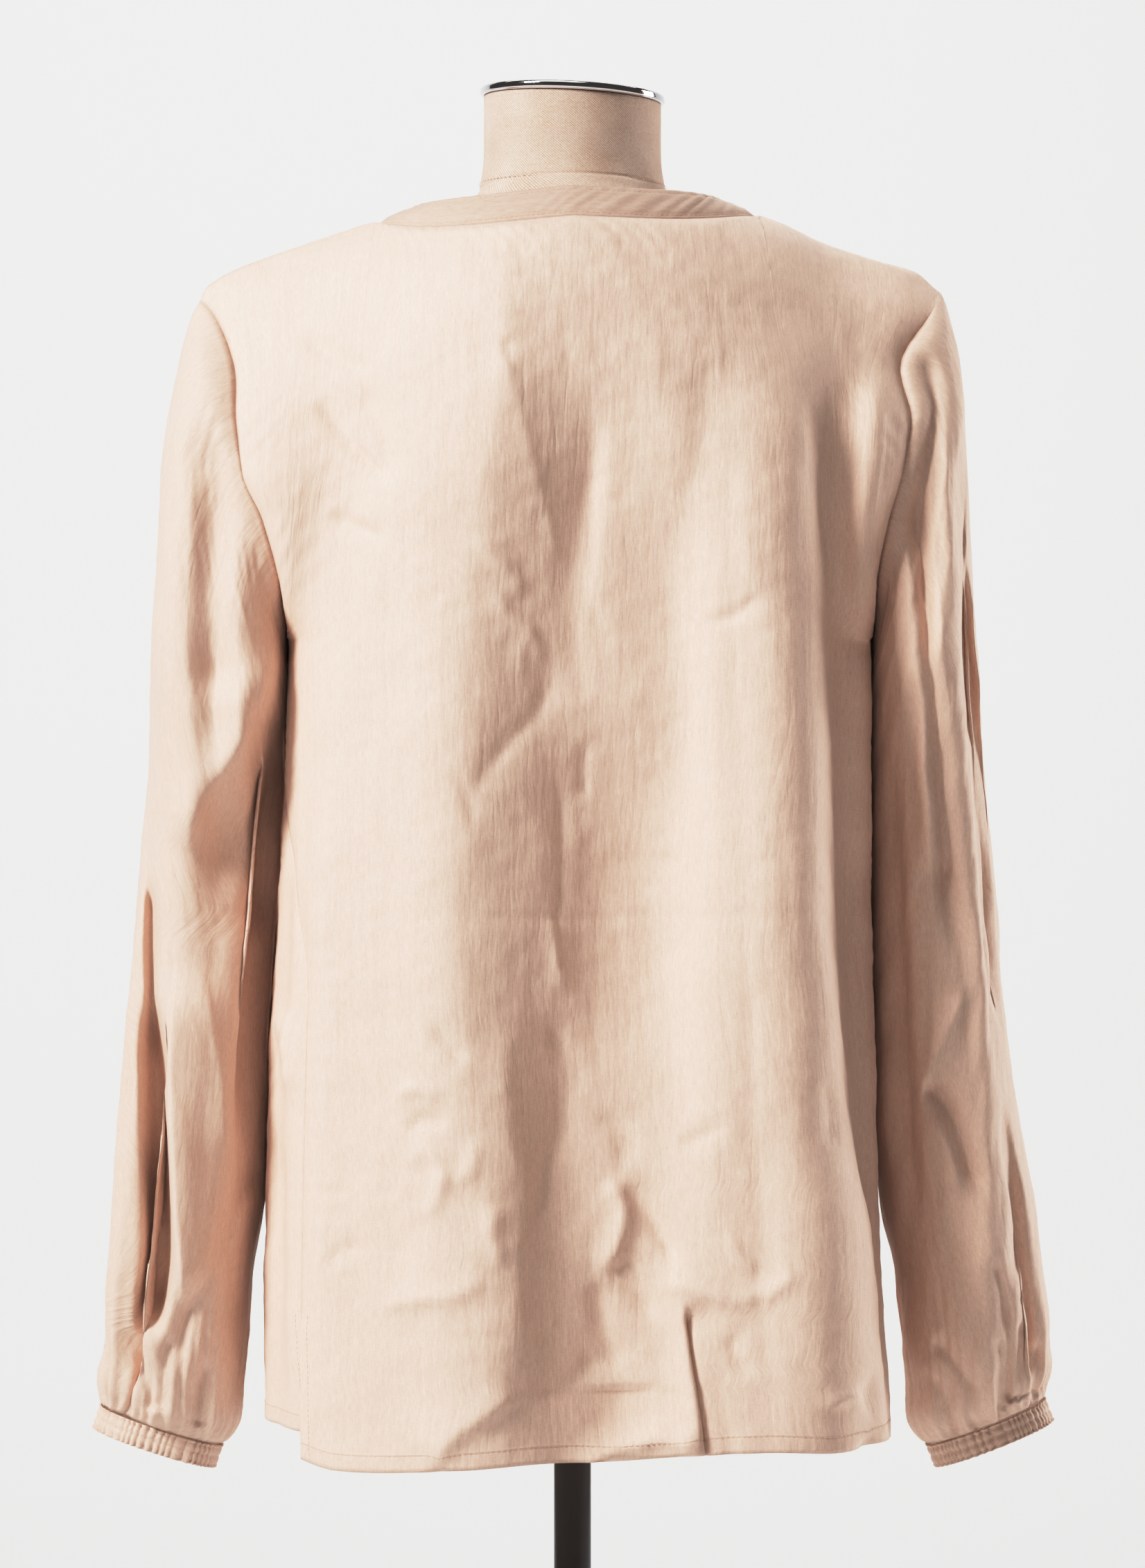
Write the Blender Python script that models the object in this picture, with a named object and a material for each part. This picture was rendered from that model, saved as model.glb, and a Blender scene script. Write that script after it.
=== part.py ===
"""Long-sleeve blouse worn by a limbless dress form on a round-footed stand.

Metres, +Z up, floor at Z = 0 under the pole. The wearer's back faces -Y and the wearer's right is +X.
The cloth pieces are thin walls cut the way the garment is: back, front, two sleeves, two elastic
cuffs and a neckband, about half a millimetre apart at their seams. Each wall is drawn as its outer
face, and its inner face lies square below it, mitred where two pieces meet.
"""

import math

import bmesh
import bpy
from mathutils import Vector
from mathutils.kdtree import KDTree

CLOTH = 0.0015          # wall thickness of the cloth
BAND_CLOTH = 0.0014     # wall thickness of the neckband
SEAM_GAP = 0.00028      # each piece is drawn back this far from a seam
FORM_INSET = 0.0034     # dress form's skin below the cloth's outer face at the shoulders
FORM_TIP_INSET, FORM_SHORT = 0.0046, 0.016       # and at the tips, where the form ends short of them

# heights above the floor
CHEST = 1.185           # the armpits
TORSO_FOOT = 0.775

# blouse body below the armpits: half-widths to each side and depths to the back and front
BODY_SECTIONS = (
    # height, left, right, back, front
    (0.700, 0.1745, 0.1720, 0.1190, 0.1150),
    (0.820, 0.1735, 0.1695, 0.1170, 0.1180),
    (0.950, 0.1705, 0.1680, 0.1150, 0.1230),
    (1.080, 0.1630, 0.1670, 0.1120, 0.1280),
    (1.185, 0.1590, 0.1670, 0.1090, 0.1310),
)
# dress form below the armpits
FORM_SECTIONS = (
    # height, left, right, back, front
    (0.775, 0.1440, 0.1440, 0.0900, 0.0860),
    (0.860, 0.1490, 0.1490, 0.0960, 0.0900),
    (0.950, 0.1370, 0.1370, 0.0900, 0.0860),
    (1.030, 0.1190, 0.1190, 0.0800, 0.0860),
    (1.100, 0.1350, 0.1360, 0.0910, 0.1080),
    (1.150, 0.1475, 0.1510, 0.1010, 0.1205),
    (1.185, 0.1490, 0.1540, 0.1005, 0.1220),
)
SQUARENESS = 2.4        # superellipse exponent of the body's sections

# line of the shoulders, from the middle of the neck out to each tip
RIDGE = (
    # out from the middle, height on the left, height on the right
    (0.000, 1.4370, 1.4370),
    (0.058, 1.4305, 1.4325),
    (0.085, 1.4260, 1.4290),
    (0.112, 1.4207, 1.4228),
    (0.1455, 1.4117, 1.4094),
    (0.172, 1.4028, 1.4008),
    (0.193, 1.3945, 1.3947),
    (0.2075, 1.3852, 1.3820),
    (0.2140, 1.3763, 1.3750),
)
TIP = {"left": 0.2135, "right": 0.2075}
RIDGE_FORWARD = 0.004   # the shoulder seam lies this far towards the front

# column handles: how far the shoulder runs level before it turns down, and how far up the blade holds
BACK_RUN, BACK_HOLD = (0.138, 0.066), 0.115
FRONT_RUN, FRONT_HOLD = (0.098, 0.062), 0.120
NECK_ROUND = 0.018      # the back stays this much higher behind the neck
# armhole handles, out of the tip and out of the armpit: outwards, away from the shoulder seam, up
ARMHOLE_UPPER = (-0.040, 0.076, -0.030)
ARMHOLE_LOWER = (0.016, 0.090, 0.012)

# how far the armhole's edge strays outwards from a plain curve
ARMHOLE_WAVE = (
    # height, left, right
    (1.1850, 0.0000, 0.0000),
    (1.1935, -0.0040, -0.0037),
    (1.2160, -0.0060, -0.0055),
    (1.2500, -0.0024, -0.0015),
    (1.2760, 0.0050, 0.0043),
    (1.3040, 0.0034, 0.0064),
    (1.3400, -0.0030, -0.0040),
    (1.3700, -0.0035, 0.0040),
    (1.3860, 0.0000, 0.0000),
)

# neckline: an ellipse seen from above at the back, a soft V seen from the front
NECK_HALF_WIDTH, NECK_BACK_DEPTH, NECK_SHIFT = 0.108, 0.0785, -0.003
V_POINT, V_BOW = 1.300, 0.010
BAND_WIDTH = 0.020
BAND_LIFT, BAND_SIDE_LIFT = 0.0016, 0.0018      # its free edge stands off the chest, and off the shoulders
BAND_STAND = (0.0125, 0.0173)   # at the middle of the back it stands up: in towards the neck, up

# side seams: the left one swings to the back below the waist
LEFT_SEAM_SWING, SWING_TOP, SWING_END = math.radians(34), 1.150, 0.980
VENT_LENGTH, FRONT_SLIP = 0.080, 0.005     # open below this; the front's corners slip inside
FRONT_HEM_RISE = {"left": 0.018, "right": 0.022}
HEM_LINE = (
    # across the back, -1 at the left side seam and 1 at the right, height
    (-1.00, 0.7345),
    (-0.45, 0.7306),
    (0.00, 0.7380),
    (0.45, 0.7430),
    (0.85, 0.7430),
    (1.00, 0.7395),
)

# large soft folds that hang down the body, centre measured round from the middle of the back
BODY_FOLDS = (
    # degrees at the chest, degrees at the hem, half-width in degrees, depth out (in if negative), top, end
    (-23, -14, 15, 0.0045, 1.300, 0.700),
    (9, 5, 17, -0.0095, 1.290, 0.700),
    (37, 46, 13, 0.0070, 1.350, 0.700),
    (58, 66, 13, -0.0050, 1.330, 0.720),
    (-52, -48, 12, 0.0030, 1.250, 0.720),
    (-74, -70, 9, -0.0035, 1.150, 0.700),
    (78, 80, 9, 0.0025, 1.160, 0.720),
    (14, 24, 6, 0.0050, 0.860, 0.690),
    (-140, -136, 16, 0.0060, 1.200, 0.700),
    (-162, -164, 13, -0.0060, 1.190, 0.700),
    (176, 180, 12, 0.0050, 1.180, 0.700),
    (152, 150, 14, -0.0070, 1.190, 0.700),
    (126, 122, 14, 0.0055, 1.200, 0.700),
)

SLEEVE_FORWARD, FORWARD_TOP, FORWARD_END = 0.020, 1.200, 1.060     # the sleeves hang towards the front
# sleeves: each section from its inner point (by the body) to its outer point, with its depth to
# the back and the front, and its height there; x is measured out from the middle
SLEEVE_SECTIONS = {
    "left": (
        # inner x, inner z, outer x, outer z, back, front
        (0.1655, 1.1830, 0.2195, 1.3620, 0.0610, 0.0610),
        (0.1660, 1.1800, 0.2240, 1.3370, 0.0640, 0.0640),
        (0.1662, 1.1760, 0.2280, 1.3080, 0.0660, 0.0660),
        (0.1664, 1.1710, 0.2310, 1.2740, 0.0680, 0.0680),
        (0.1666, 1.1640, 0.2335, 1.2380, 0.0690, 0.0690),
        (0.1670, 1.1540, 0.2358, 1.1980, 0.0695, 0.0690),
        (0.1680, 1.1380, 0.2375, 1.1580, 0.0690, 0.0690),
        (0.1695, 1.1080, 0.2390, 1.1150, 0.0690, 0.0680),
        (0.1700, 1.0650, 0.2440, 1.0650, 0.0680, 0.0680),
        (0.1720, 1.0150, 0.2480, 1.0150, 0.0670, 0.0670),
        (0.1745, 0.9650, 0.2517, 0.9650, 0.0660, 0.0665),
        (0.1770, 0.9150, 0.2557, 0.9150, 0.0660, 0.0660),
        (0.1795, 0.8700, 0.2587, 0.8700, 0.0650, 0.0650),
        (0.1815, 0.8280, 0.2612, 0.8300, 0.0620, 0.0620),
        (0.1845, 0.7930, 0.2632, 0.8000, 0.0560, 0.0560),
        (0.1885, 0.7640, 0.2640, 0.7770, 0.0460, 0.0460),
        (0.1940, 0.7425, 0.2635, 0.7620, 0.0330, 0.0330),
        (0.1985, 0.7315, 0.2668, 0.7540, 0.0255, 0.0255),
    ),
    "right": (
        (0.1705, 1.1830, 0.2135, 1.3700, 0.0610, 0.0610),
        (0.1712, 1.1800, 0.2180, 1.3460, 0.0640, 0.0640),
        (0.1718, 1.1760, 0.2205, 1.3170, 0.0660, 0.0660),
        (0.1724, 1.1710, 0.2215, 1.2820, 0.0680, 0.0680),
        (0.1728, 1.1640, 0.2235, 1.2400, 0.0690, 0.0690),
        (0.1732, 1.1540, 0.2252, 1.1980, 0.0695, 0.0690),
        (0.1725, 1.1380, 0.2290, 1.1580, 0.0690, 0.0690),
        (0.1715, 1.1080, 0.2320, 1.1150, 0.0690, 0.0680),
        (0.1710, 1.0650, 0.2370, 1.0650, 0.0680, 0.0680),
        (0.1715, 1.0150, 0.2410, 1.0150, 0.0670, 0.0670),
        (0.1725, 0.9650, 0.2455, 0.9650, 0.0660, 0.0665),
        (0.1745, 0.9150, 0.2530, 0.9150, 0.0660, 0.0660),
        (0.1790, 0.8700, 0.2610, 0.8700, 0.0650, 0.0650),
        (0.1830, 0.8280, 0.2660, 0.8300, 0.0620, 0.0620),
        (0.1870, 0.7930, 0.2695, 0.8000, 0.0560, 0.0560),
        (0.1910, 0.7640, 0.2675, 0.7790, 0.0460, 0.0460),
        (0.1960, 0.7425, 0.2640, 0.7650, 0.0330, 0.0330),
        (0.2005, 0.7315, 0.2668, 0.7575, 0.0255, 0.0255),
    ),
}
SLEEVE_SQUARENESS = 2.2
ARMHOLE_FADE = (0.0, 0.55, 0.85, 1.0)   # how far the first sections have left the armhole's shape

# sleeve folds, centre measured round from the outer side towards the back
SLEEVE_FOLDS = {
    "left": (
        # degrees at the top, degrees at the end, half-width in degrees, depth out, top, end
        (62, 52, 17, -0.0150, 1.020, 0.735),
        (30, 30, 14, 0.0040, 1.060, 0.760),
        (78, 100, 20, -0.0060, 1.330, 1.020),
        (112, 118, 16, 0.0040, 1.220, 0.800),
        (150, 135, 20, -0.0090, 1.160, 0.900),
        (-60, -60, 18, -0.0100, 1.020, 0.745),
        (-105, -110, 22, -0.0060, 1.250, 0.900),
    ),
    "right": (
        (98, 78, 14, -0.0090, 1.310, 1.000),
        (66, 60, 14, 0.0040, 1.330, 0.900),
        (34, 34, 12, -0.0080, 1.240, 0.960),
        (48, 40, 12, -0.0070, 0.930, 0.740),
        (132, 128, 20, -0.0060, 1.150, 0.840),
        (-60, -60, 18, -0.0100, 1.020, 0.745),
        (-105, -110, 22, -0.0060, 1.250, 0.900),
    ),
}
GATHERS = 8             # large gathers above each cuff
GATHER_DEPTH, GATHER_REACH = 0.0026, 0.060

# elastic cuffs
CUFF_WIDTH = 0.0130
CUFF_RUFFLES, RUFFLE_DEPTH = 20, 0.0011

# dress form and stand
NECK_PROFILE = (
    # radius, height
    (0.0000, 1.3900),
    (0.0640, 1.3900),
    (0.0700, 1.4290),
    (0.0620, 1.4345),
    (0.0555, 1.4405),
    (0.0520, 1.4465),
    (0.0503, 1.4550),
    (0.0500, 1.4650),
    (0.0500, 1.4905),
    (0.0000, 1.4905),
)
CAP_RADIUS, CAP_THICKNESS, CAP_ROUND = 0.0522, 0.0048, 0.0018
CAP_DROP = -0.050       # fall of the neck's top for each metre towards the wearer's right
POLE_RADIUS = 0.0104
BASE_RADIUS, BASE_THICKNESS, BASE_ROUND = 0.150, 0.009, 0.003
STAND_GAP = 0.0003
NECK_FORWARD = 0.010    # the neck's middle lies this far in front of the pole
NECK_SLOPE = 0.25       # the foot of the neck falls towards the front

# mesh density
NECK_COLUMNS, SHOULDER_COLUMNS = 16, 6
UPPER_ROWS, LOWER_ROWS, VENT_ROWS = 16, 6, 2
CUFF_POINTS_A_RUFFLE = 4
FORM_COLUMNS, FORM_UPPER_ROWS, FORM_LOWER_ROWS = 18, 8, 7


def smooth(value):
    """0 below 0, 1 above 1 and a soft S between."""
    value = min(1.0, max(0.0, value))
    return value * value * (3 - 2 * value)


def mix(a, b, share):
    return a + (b - a) * share


def track(rows, column, at):
    """A column of a table whose first column rises, read between its rows on a smooth curve."""
    keys = [row[0] for row in rows]
    values = [row[column] for row in rows]
    if at <= keys[0]:
        return values[0]
    if at >= keys[-1]:
        return values[-1]
    i = max(k for k in range(len(keys) - 1) if keys[k] <= at)
    span = keys[i + 1] - keys[i]
    slope = (values[i + 1] - values[i]) / span

    def tangent(k):
        if k == 0 or k == len(keys) - 1:
            return slope
        before = (values[k] - values[k - 1]) / (keys[k] - keys[k - 1])
        after = (values[k + 1] - values[k]) / (keys[k + 1] - keys[k])
        return 0.0 if before * after <= 0 else 2 * before * after / (before + after)

    t = (at - keys[i]) / span
    start, end = tangent(i) * span, tangent(i + 1) * span
    return (
        values[i] * (2 * t**3 - 3 * t**2 + 1)
        + start * (t**3 - 2 * t**2 + t)
        + values[i + 1] * (3 * t**2 - 2 * t**3)
        + end * (t**3 - t**2)
    )


def bell(distance):
    """1 at 0, falling softly to 0 at 1 on both sides."""
    return smooth(1 - abs(distance))


def fold_depth(folds, degrees, height):
    """How far the folds of a table push the cloth out at an angle and a height."""
    total = 0.0
    for top_at, end_at, half_width, depth, top, end in folds:
        down = (top - height) / (top - end)
        centre = mix(top_at, end_at, min(1.0, max(0.0, down)))
        away = (degrees - centre + 180) % 360 - 180
        total += depth * bell(away / half_width) * smooth(down * 3) * smooth((1 - down) * 5)
    return total


def power(value, exponent):
    return math.copysign(abs(value) ** exponent, value)


def section_point(sections, height, angle):
    """Point of a body section; the angle runs from the middle of the back to the wearer's right."""
    side = track(sections, 2 if angle > 0 else 1, height)
    depth = track(sections, 3 if math.cos(angle) > 0 else 4, height)
    x = side * power(math.sin(angle), 2 / SQUARENESS)
    y = -depth * power(math.cos(angle), 2 / SQUARENESS)
    return Vector((x, y, height))


def ridge_height(x):
    """Height of the shoulder line; the two shoulders blend across the neck."""
    share = smooth(0.5 + x / 0.16)
    return mix(track(RIDGE, 1, abs(x)), track(RIDGE, 2, abs(x)), share)


def seam_angle(across, height, face):
    """Angle round the body of a column: across is -1 at the left side seam and 1 at the right."""
    quarter = math.pi / 2
    swing = LEFT_SEAM_SWING * smooth((SWING_TOP - height) / (SWING_TOP - SWING_END))
    swing = -swing if face == "back" else swing
    angle = across * quarter
    if across < -0.5:
        angle += -(-0.5 - across) / 0.5 * swing
    return angle if face == "back" else math.pi - angle


def wrapped(angle):
    return (angle + math.pi) % (2 * math.pi) - math.pi


def upper_column(across, face, fit):
    """Four control points of a column from the shoulder ridge down to the armpits' level."""
    side = "left" if across < 0 else "right"
    sign = -1 if across < 0 else 1
    share = abs(across)
    facing = -1 if face == "back" else 1
    inset = 0.0 if fit == "cloth" else mix(FORM_INSET, FORM_TIP_INSET, smooth(2 * share - 1))
    reach = TIP[side] - (0.0 if fit == "cloth" else FORM_SHORT)
    sections = BODY_SECTIONS if fit == "cloth" else FORM_SECTIONS
    x = sign * share * reach
    top = Vector((x, RIDGE_FORWARD, ridge_height(x) - inset))
    run_rows, hold = (BACK_RUN, BACK_HOLD) if face == "back" else (FRONT_RUN, FRONT_HOLD)
    run = mix(run_rows[0], run_rows[1], smooth(share)) - inset
    rounding = NECK_ROUND * (1 - smooth(share / 0.6)) if face == "back" else 0.002
    level = Vector((x, RIDGE_FORWARD + facing * run, top.z - 0.002 + rounding))
    chest = section_point(sections, CHEST, wrapped(seam_angle(across, CHEST, face)))
    at = wrapped(seam_angle(across, CHEST, face))
    rising = section_point(BODY_SECTIONS, CHEST, at) - section_point(BODY_SECTIONS, CHEST - 0.01, at)
    held = chest + rising * (hold / 0.01)
    edge, armpit = smooth((share - 0.45) / 0.55), smooth((share - 0.48) / 0.52)
    upper = top + Vector(
        (sign * ARMHOLE_UPPER[0], facing * ARMHOLE_UPPER[1], ARMHOLE_UPPER[2])
    )
    lower = chest + Vector(
        (sign * ARMHOLE_LOWER[0], facing * ARMHOLE_LOWER[1], ARMHOLE_LOWER[2])
    )
    return top, level.lerp(upper, edge), held.lerp(lower, armpit), chest


def curve_point(points, t):
    """Point of a column at a share of its way down, with the armhole's waves near its edge."""
    a, b, c, d = points
    point = a * (1 - t) ** 3 + b * (3 * t * (1 - t) ** 2) + c * (3 * t * t * (1 - t)) + d * t**3
    side = 1 if point.x < 0 else 2
    wave = track(ARMHOLE_WAVE, side, point.z) if a.x else 0.0
    near = smooth((abs(a.x) / TIP["left" if side == 1 else "right"] - 0.60) / 0.40)
    return point + Vector((math.copysign(1.0, a.x) * wave * near, 0, 0))


def in_neck_hole(point, face, margin=0.0):
    """True where the neckline, made smaller by a margin, has no cloth."""
    x = point.x - NECK_SHIFT
    half_width = NECK_HALF_WIDTH - margin
    if face == "back":
        depth = NECK_BACK_DEPTH - margin * 0.62
        y = min(0.0, point.y - RIDGE_FORWARD)
        return (x / half_width) ** 2 + (y / depth) ** 2 < 1
    share = min(1.0, abs(x) / half_width)
    foot = V_POINT + margin * 1.75
    line = mix(foot, ridge_height(point.x), share) - V_BOW * math.sin(math.pi * share)
    return abs(x) < half_width and point.z > line


def neck_start(points, face, margin=0.0):
    """Share of a column at which it comes out of the neck hole."""
    low, high = 0.0, 1.0
    if not in_neck_hole(curve_point(points, 0.0), face, margin):
        return 0.0
    for _ in range(40):
        middle = (low + high) / 2
        if in_neck_hole(curve_point(points, middle), face, margin):
            low = middle
        else:
            high = middle
    return high


def neck_across(fraction, margin=0.0):
    """Column that starts at a fraction, -1 to 1, of the neckline's half-width."""
    x = NECK_SHIFT + fraction * (NECK_HALF_WIDTH - margin)
    return x / (TIP["left"] if x < 0 else TIP["right"])


def body_columns():
    """Columns of a panel: even round the neckline, then even along each shoulder."""
    neck, outer = NECK_COLUMNS, SHOULDER_COLUMNS
    inner = [neck_across(math.sin(math.pi / 2 * (2 * i / neck - 1))) for i in range(neck + 1)]
    left = [mix(-1.0, inner[0], i / outer) for i in range(outer)]
    right = [mix(inner[-1], 1.0, (i + 1) / outer) for i in range(outer)]
    return left + inner + right


def pushed_out(point, degrees, folds):
    """A body point moved out by the folds, level with the floor and away from the middle."""
    angle = math.radians(degrees)
    out = Vector((math.sin(angle), -math.cos(angle) * 1.3, 0)).normalized()
    return point + out * fold_depth(folds, degrees, point.z)


def hem_height(across, face):
    side = "left" if across < 0 else "right"
    rise = FRONT_HEM_RISE[side] if face == "front" else 0.0
    return track(HEM_LINE, 1, across if face == "back" else across * 0.5) + rise


def panel_rows(face):
    """Rows of points of the back or front, from the shoulders and neckline down to the hem."""
    columns = body_columns()
    rows = []
    for r in range(UPPER_ROWS + 1):
        row = []
        for across in columns:
            points = upper_column(across, face, "cloth")
            start = neck_start(points, face)
            t = mix(start, 1.0, r / UPPER_ROWS)
            point = curve_point(points, t)
            degrees = math.degrees(wrapped(seam_angle(across, point.z, face)))
            if 0 < r and abs(across) < 0.999:
                point = pushed_out(point, degrees, BODY_FOLDS)
            row.append(point)
        rows.append(row)
    for r in range(1, LOWER_ROWS + VENT_ROWS + 1):
        row = []
        for across in columns:
            vent_top = HEM_LINE[0][1] + VENT_LENGTH
            if r <= LOWER_ROWS:
                height = mix(CHEST, vent_top, r / LOWER_ROWS)
            else:
                height = mix(vent_top, hem_height(across, face), (r - LOWER_ROWS) / VENT_ROWS)
            angle = wrapped(seam_angle(across, height, face))
            point = section_point(BODY_SECTIONS, height, angle)
            point = pushed_out(point, math.degrees(angle), BODY_FOLDS)
            if face == "front" and r > LOWER_ROWS:
                slip = FRONT_SLIP * (r - LOWER_ROWS) / VENT_ROWS * smooth((abs(across) - 0.7) / 0.3)
                point -= Vector((point.x, point.y, 0)).normalized() * slip
            row.append(point)
        rows.append(row)
    return rows


def new_object(name, build, material):
    """An object whose mesh the function build makes with bmesh."""
    mesh = bpy.data.meshes.new(name)
    bm = bmesh.new()
    build(bm)
    bm.to_mesh(mesh)
    bm.free()
    mesh.materials.append(material)
    mesh.shade_smooth()
    obj = bpy.data.objects.new(name, mesh)
    bpy.context.scene.collection.objects.link(obj)
    return obj


def sheet(bm, rows, closed=False):
    """Faces between rows of points; the last joins the first where the rows are rings."""
    grid = [[bm.verts.new(point) for point in row] for row in rows]
    for above, below in zip(grid, grid[1:]):
        count = len(above)
        for i in range(count if closed else count - 1):
            j = (i + 1) % count
            bm.faces.new((above[i], below[i], below[j], above[j]))
    return grid


def shell_normals(sheets):
    """Looks up the outward direction of the whole garment, its pieces joined at their seams."""
    bm = bmesh.new()
    for rows, closed in sheets:
        sheet(bm, rows, closed)
    bmesh.ops.remove_doubles(bm, verts=bm.verts[:], dist=0.00002)
    bmesh.ops.recalc_face_normals(bm, faces=bm.faces[:])
    lowest = min(bm.faces, key=lambda face: face.calc_center_median().y)
    if lowest.normal.y > 0:
        bmesh.ops.reverse_faces(bm, faces=bm.faces[:])
    bm.normal_update()
    tree = KDTree(len(bm.verts))
    normals = []
    for vert in bm.verts:
        tree.insert(vert.co, len(normals))
        normals.append(vert.normal.copy())
    tree.balance()
    bm.free()
    return lambda point: normals[tree.find(point)[1]]


def into_piece(vert):
    """Direction from a vertex of a piece's edge into the piece, along the cloth."""
    inner = [edge.other_vert(vert) for edge in vert.link_edges if not edge.is_boundary]
    if inner:
        return sum(((other.co - vert.co).normalized() for other in inner), Vector()).normalized()
    return (vert.link_faces[0].calc_center_median() - vert.co).normalized() * 1.4


def cloth_wall(name, rows, closed, thickness, material, shell):
    """A cloth wall from the rows of its outer face, drawn back from its seams and mitred there."""

    def build(bm):
        sheet(bm, rows, closed)
        bm.normal_update()
        middle = bm.faces[:][len(bm.faces) // 2]
        around = sum((shell(vert.co) for vert in middle.verts), Vector())
        if middle.normal.dot(around) < 0:
            bmesh.ops.reverse_faces(bm, faces=bm.faces[:])
            bm.normal_update()
        outer, moves, below = bm.verts[:], [], []
        for vert in outer:
            move, normal = Vector(), vert.normal.copy()
            if vert.is_boundary:
                inwards, joined = into_piece(vert), shell(vert.co)
                valley = max(0.0, inwards.dot(joined))
                move = inwards * SEAM_GAP - normal * SEAM_GAP * 2 * valley
                normal = joined if inwards.dot(joined) < 0 else normal
            moves.append(move)
            below.append(normal * -thickness)
        for vert, move in zip(outer, moves):
            vert.co += move
        lower = {vert: bm.verts.new(vert.co + depth) for vert, depth in zip(outer, below)}
        for face in bm.faces[:]:
            bm.faces.new([lower[vert] for vert in reversed(face.verts)])
        for edge in [edge for edge in bm.edges if edge.is_boundary and edge.verts[0] in lower]:
            loop = edge.link_loops[0]
            a, b = loop.vert, loop.link_loop_next.vert
            bm.faces.new((b, a, lower[a], lower[b]))

    return new_object(name, build, material)


def sleeve_middle(height):
    """How far towards the front the sleeves' sections lie."""
    return mix(0.0, SLEEVE_FORWARD, smooth((FORWARD_TOP - height) / (FORWARD_TOP - FORWARD_END)))


def armhole(side, back, front):
    """Ring of the armhole: the shoulder's tip, down the back's edge, and up the front's."""
    end = 0 if side == "left" else -1
    behind = [row[end] for row in back[: UPPER_ROWS + 1]]
    before = [row[end] for row in front[1:UPPER_ROWS]]
    return behind + before[::-1]


def sleeve_rows(side, seam):
    """Rings of a sleeve: the armhole's seam, and then one for each row of its table."""
    sign = -1 if side == "left" else 1
    table = SLEEVE_SECTIONS[side]
    rings = [seam]
    for index, (inner_x, inner_z, outer_x, outer_z, back, front) in enumerate(table):
        ring = []
        for i, start in enumerate(seam):
            angle = i / len(seam) * 2 * math.pi
            depth = back if angle <= math.pi else front
            share = 0.5 + 0.5 * power(math.cos(angle), 2 / SLEEVE_SQUARENESS)
            z = mix(inner_z, outer_z, share)
            degrees = (math.degrees(angle) + 180) % 360 - 180
            push = fold_depth(SLEEVE_FOLDS[side], degrees, z)
            gather = math.cos(GATHERS * angle) * (0.75 + 0.25 * math.cos(3 * angle + 1))
            strength = 1.0 if index < len(table) - 1 else 0.35
            push += GATHER_DEPTH * strength * gather * smooth(1 - (z - 0.742) / GATHER_REACH)
            out = Vector((math.cos(angle), -math.sin(angle) * 0.6, 0)).normalized() * push
            x = sign * (mix(inner_x, outer_x, share) + out.x)
            y = sleeve_middle(z) + out.y - depth * power(math.sin(angle), 2 / SLEEVE_SQUARENESS)
            stay = 1 - ARMHOLE_FADE[index + 1] if index + 1 < len(ARMHOLE_FADE) else 0.0
            ring.append(Vector((mix(x, start.x, stay * 0.6), mix(y, start.y, stay), z)))
        rings.append(ring)
    return rings


def cuff_rings(side):
    """Rings of an elastic cuff, square to its own tilted axis."""
    sign = -1 if side == "left" else 1
    inner_x, inner_z, outer_x, outer_z, back, _ = SLEEVE_SECTIONS[side][-1]
    across = Vector((sign * (outer_x - inner_x), 0, outer_z - inner_z))
    half_width = across.length / 2
    across.normalize()
    down = Vector((across.z * sign, 0, -across.x * sign)).normalized()
    if down.z > 0:
        down = -down
    middle = Vector((sign * (outer_x + inner_x) / 2, SLEEVE_FORWARD, (outer_z + inner_z) / 2))
    points = CUFF_RUFFLES * CUFF_POINTS_A_RUFFLE
    rings = []
    for step, swell in ((0.0, 0.0), (0.35, 0.0009), (0.7, 0.0009), (1.0, 0.0)):
        centre = middle + down * (SEAM_GAP * 2 + CUFF_WIDTH * step)
        ring = []
        for i in range(points):
            angle = 2 * math.pi * i / points
            ruffle = RUFFLE_DEPTH * math.cos(CUFF_RUFFLES * angle) * (0.55 + 0.45 * abs(2 * step - 1))
            width = half_width + swell + ruffle
            depth = back + swell + ruffle
            x = width * power(math.cos(angle), 2 / SLEEVE_SQUARENESS)
            y = -depth * power(math.sin(angle), 2 / SLEEVE_SQUARENESS)
            ring.append(centre + across * x + Vector((0, y, 0)))
        rings.append(ring)
    return rings


def make_cuff(side, material):
    rings = cuff_rings(side)
    middle = sum(rings[0], Vector()) / len(rings[0])
    return cloth_wall(
        side + "_cuff", rings, True, CLOTH, material, lambda point: (point - middle).normalized()
    )


def band_rows(back, front):
    """Neckband: rings from the neckline in to the band's free edge, round the neck and the V."""
    first, last = SHOULDER_COLUMNS, SHOULDER_COLUMNS + NECK_COLUMNS
    seam = back[0][first : last + 1] + front[0][first + 1 : last][::-1]
    places = [("back", 2 * i / NECK_COLUMNS - 1) for i in range(NECK_COLUMNS + 1)]
    places += [("front", 1 - 2 * i / NECK_COLUMNS) for i in range(1, NECK_COLUMNS)]
    free = []
    for (face, turn), start in zip(places, seam):
        across = neck_across(math.sin(math.pi / 2 * turn), BAND_WIDTH)
        points = upper_column(across, face, "cloth")
        lift = BAND_LIFT + BAND_SIDE_LIFT * smooth(2 * abs(turn) - 1)
        flat = curve_point(points, neck_start(points, face, BAND_WIDTH)) + Vector((0, 0, lift))
        if face == "back":
            inwards = (Vector((0, NECK_FORWARD, 0)) - Vector((start.x, start.y, 0))).normalized()
            raised = start + inwards * BAND_STAND[0] + Vector((0, 0, BAND_STAND[1]))
            flat = flat.lerp(raised, smooth((1 - abs(turn)) * 1.6))
        free.append(flat)
    middle = [a.lerp(b, 0.5) + Vector((0, 0, 0.0006)) for a, b in zip(seam, free)]
    return [seam, middle, free]


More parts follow.
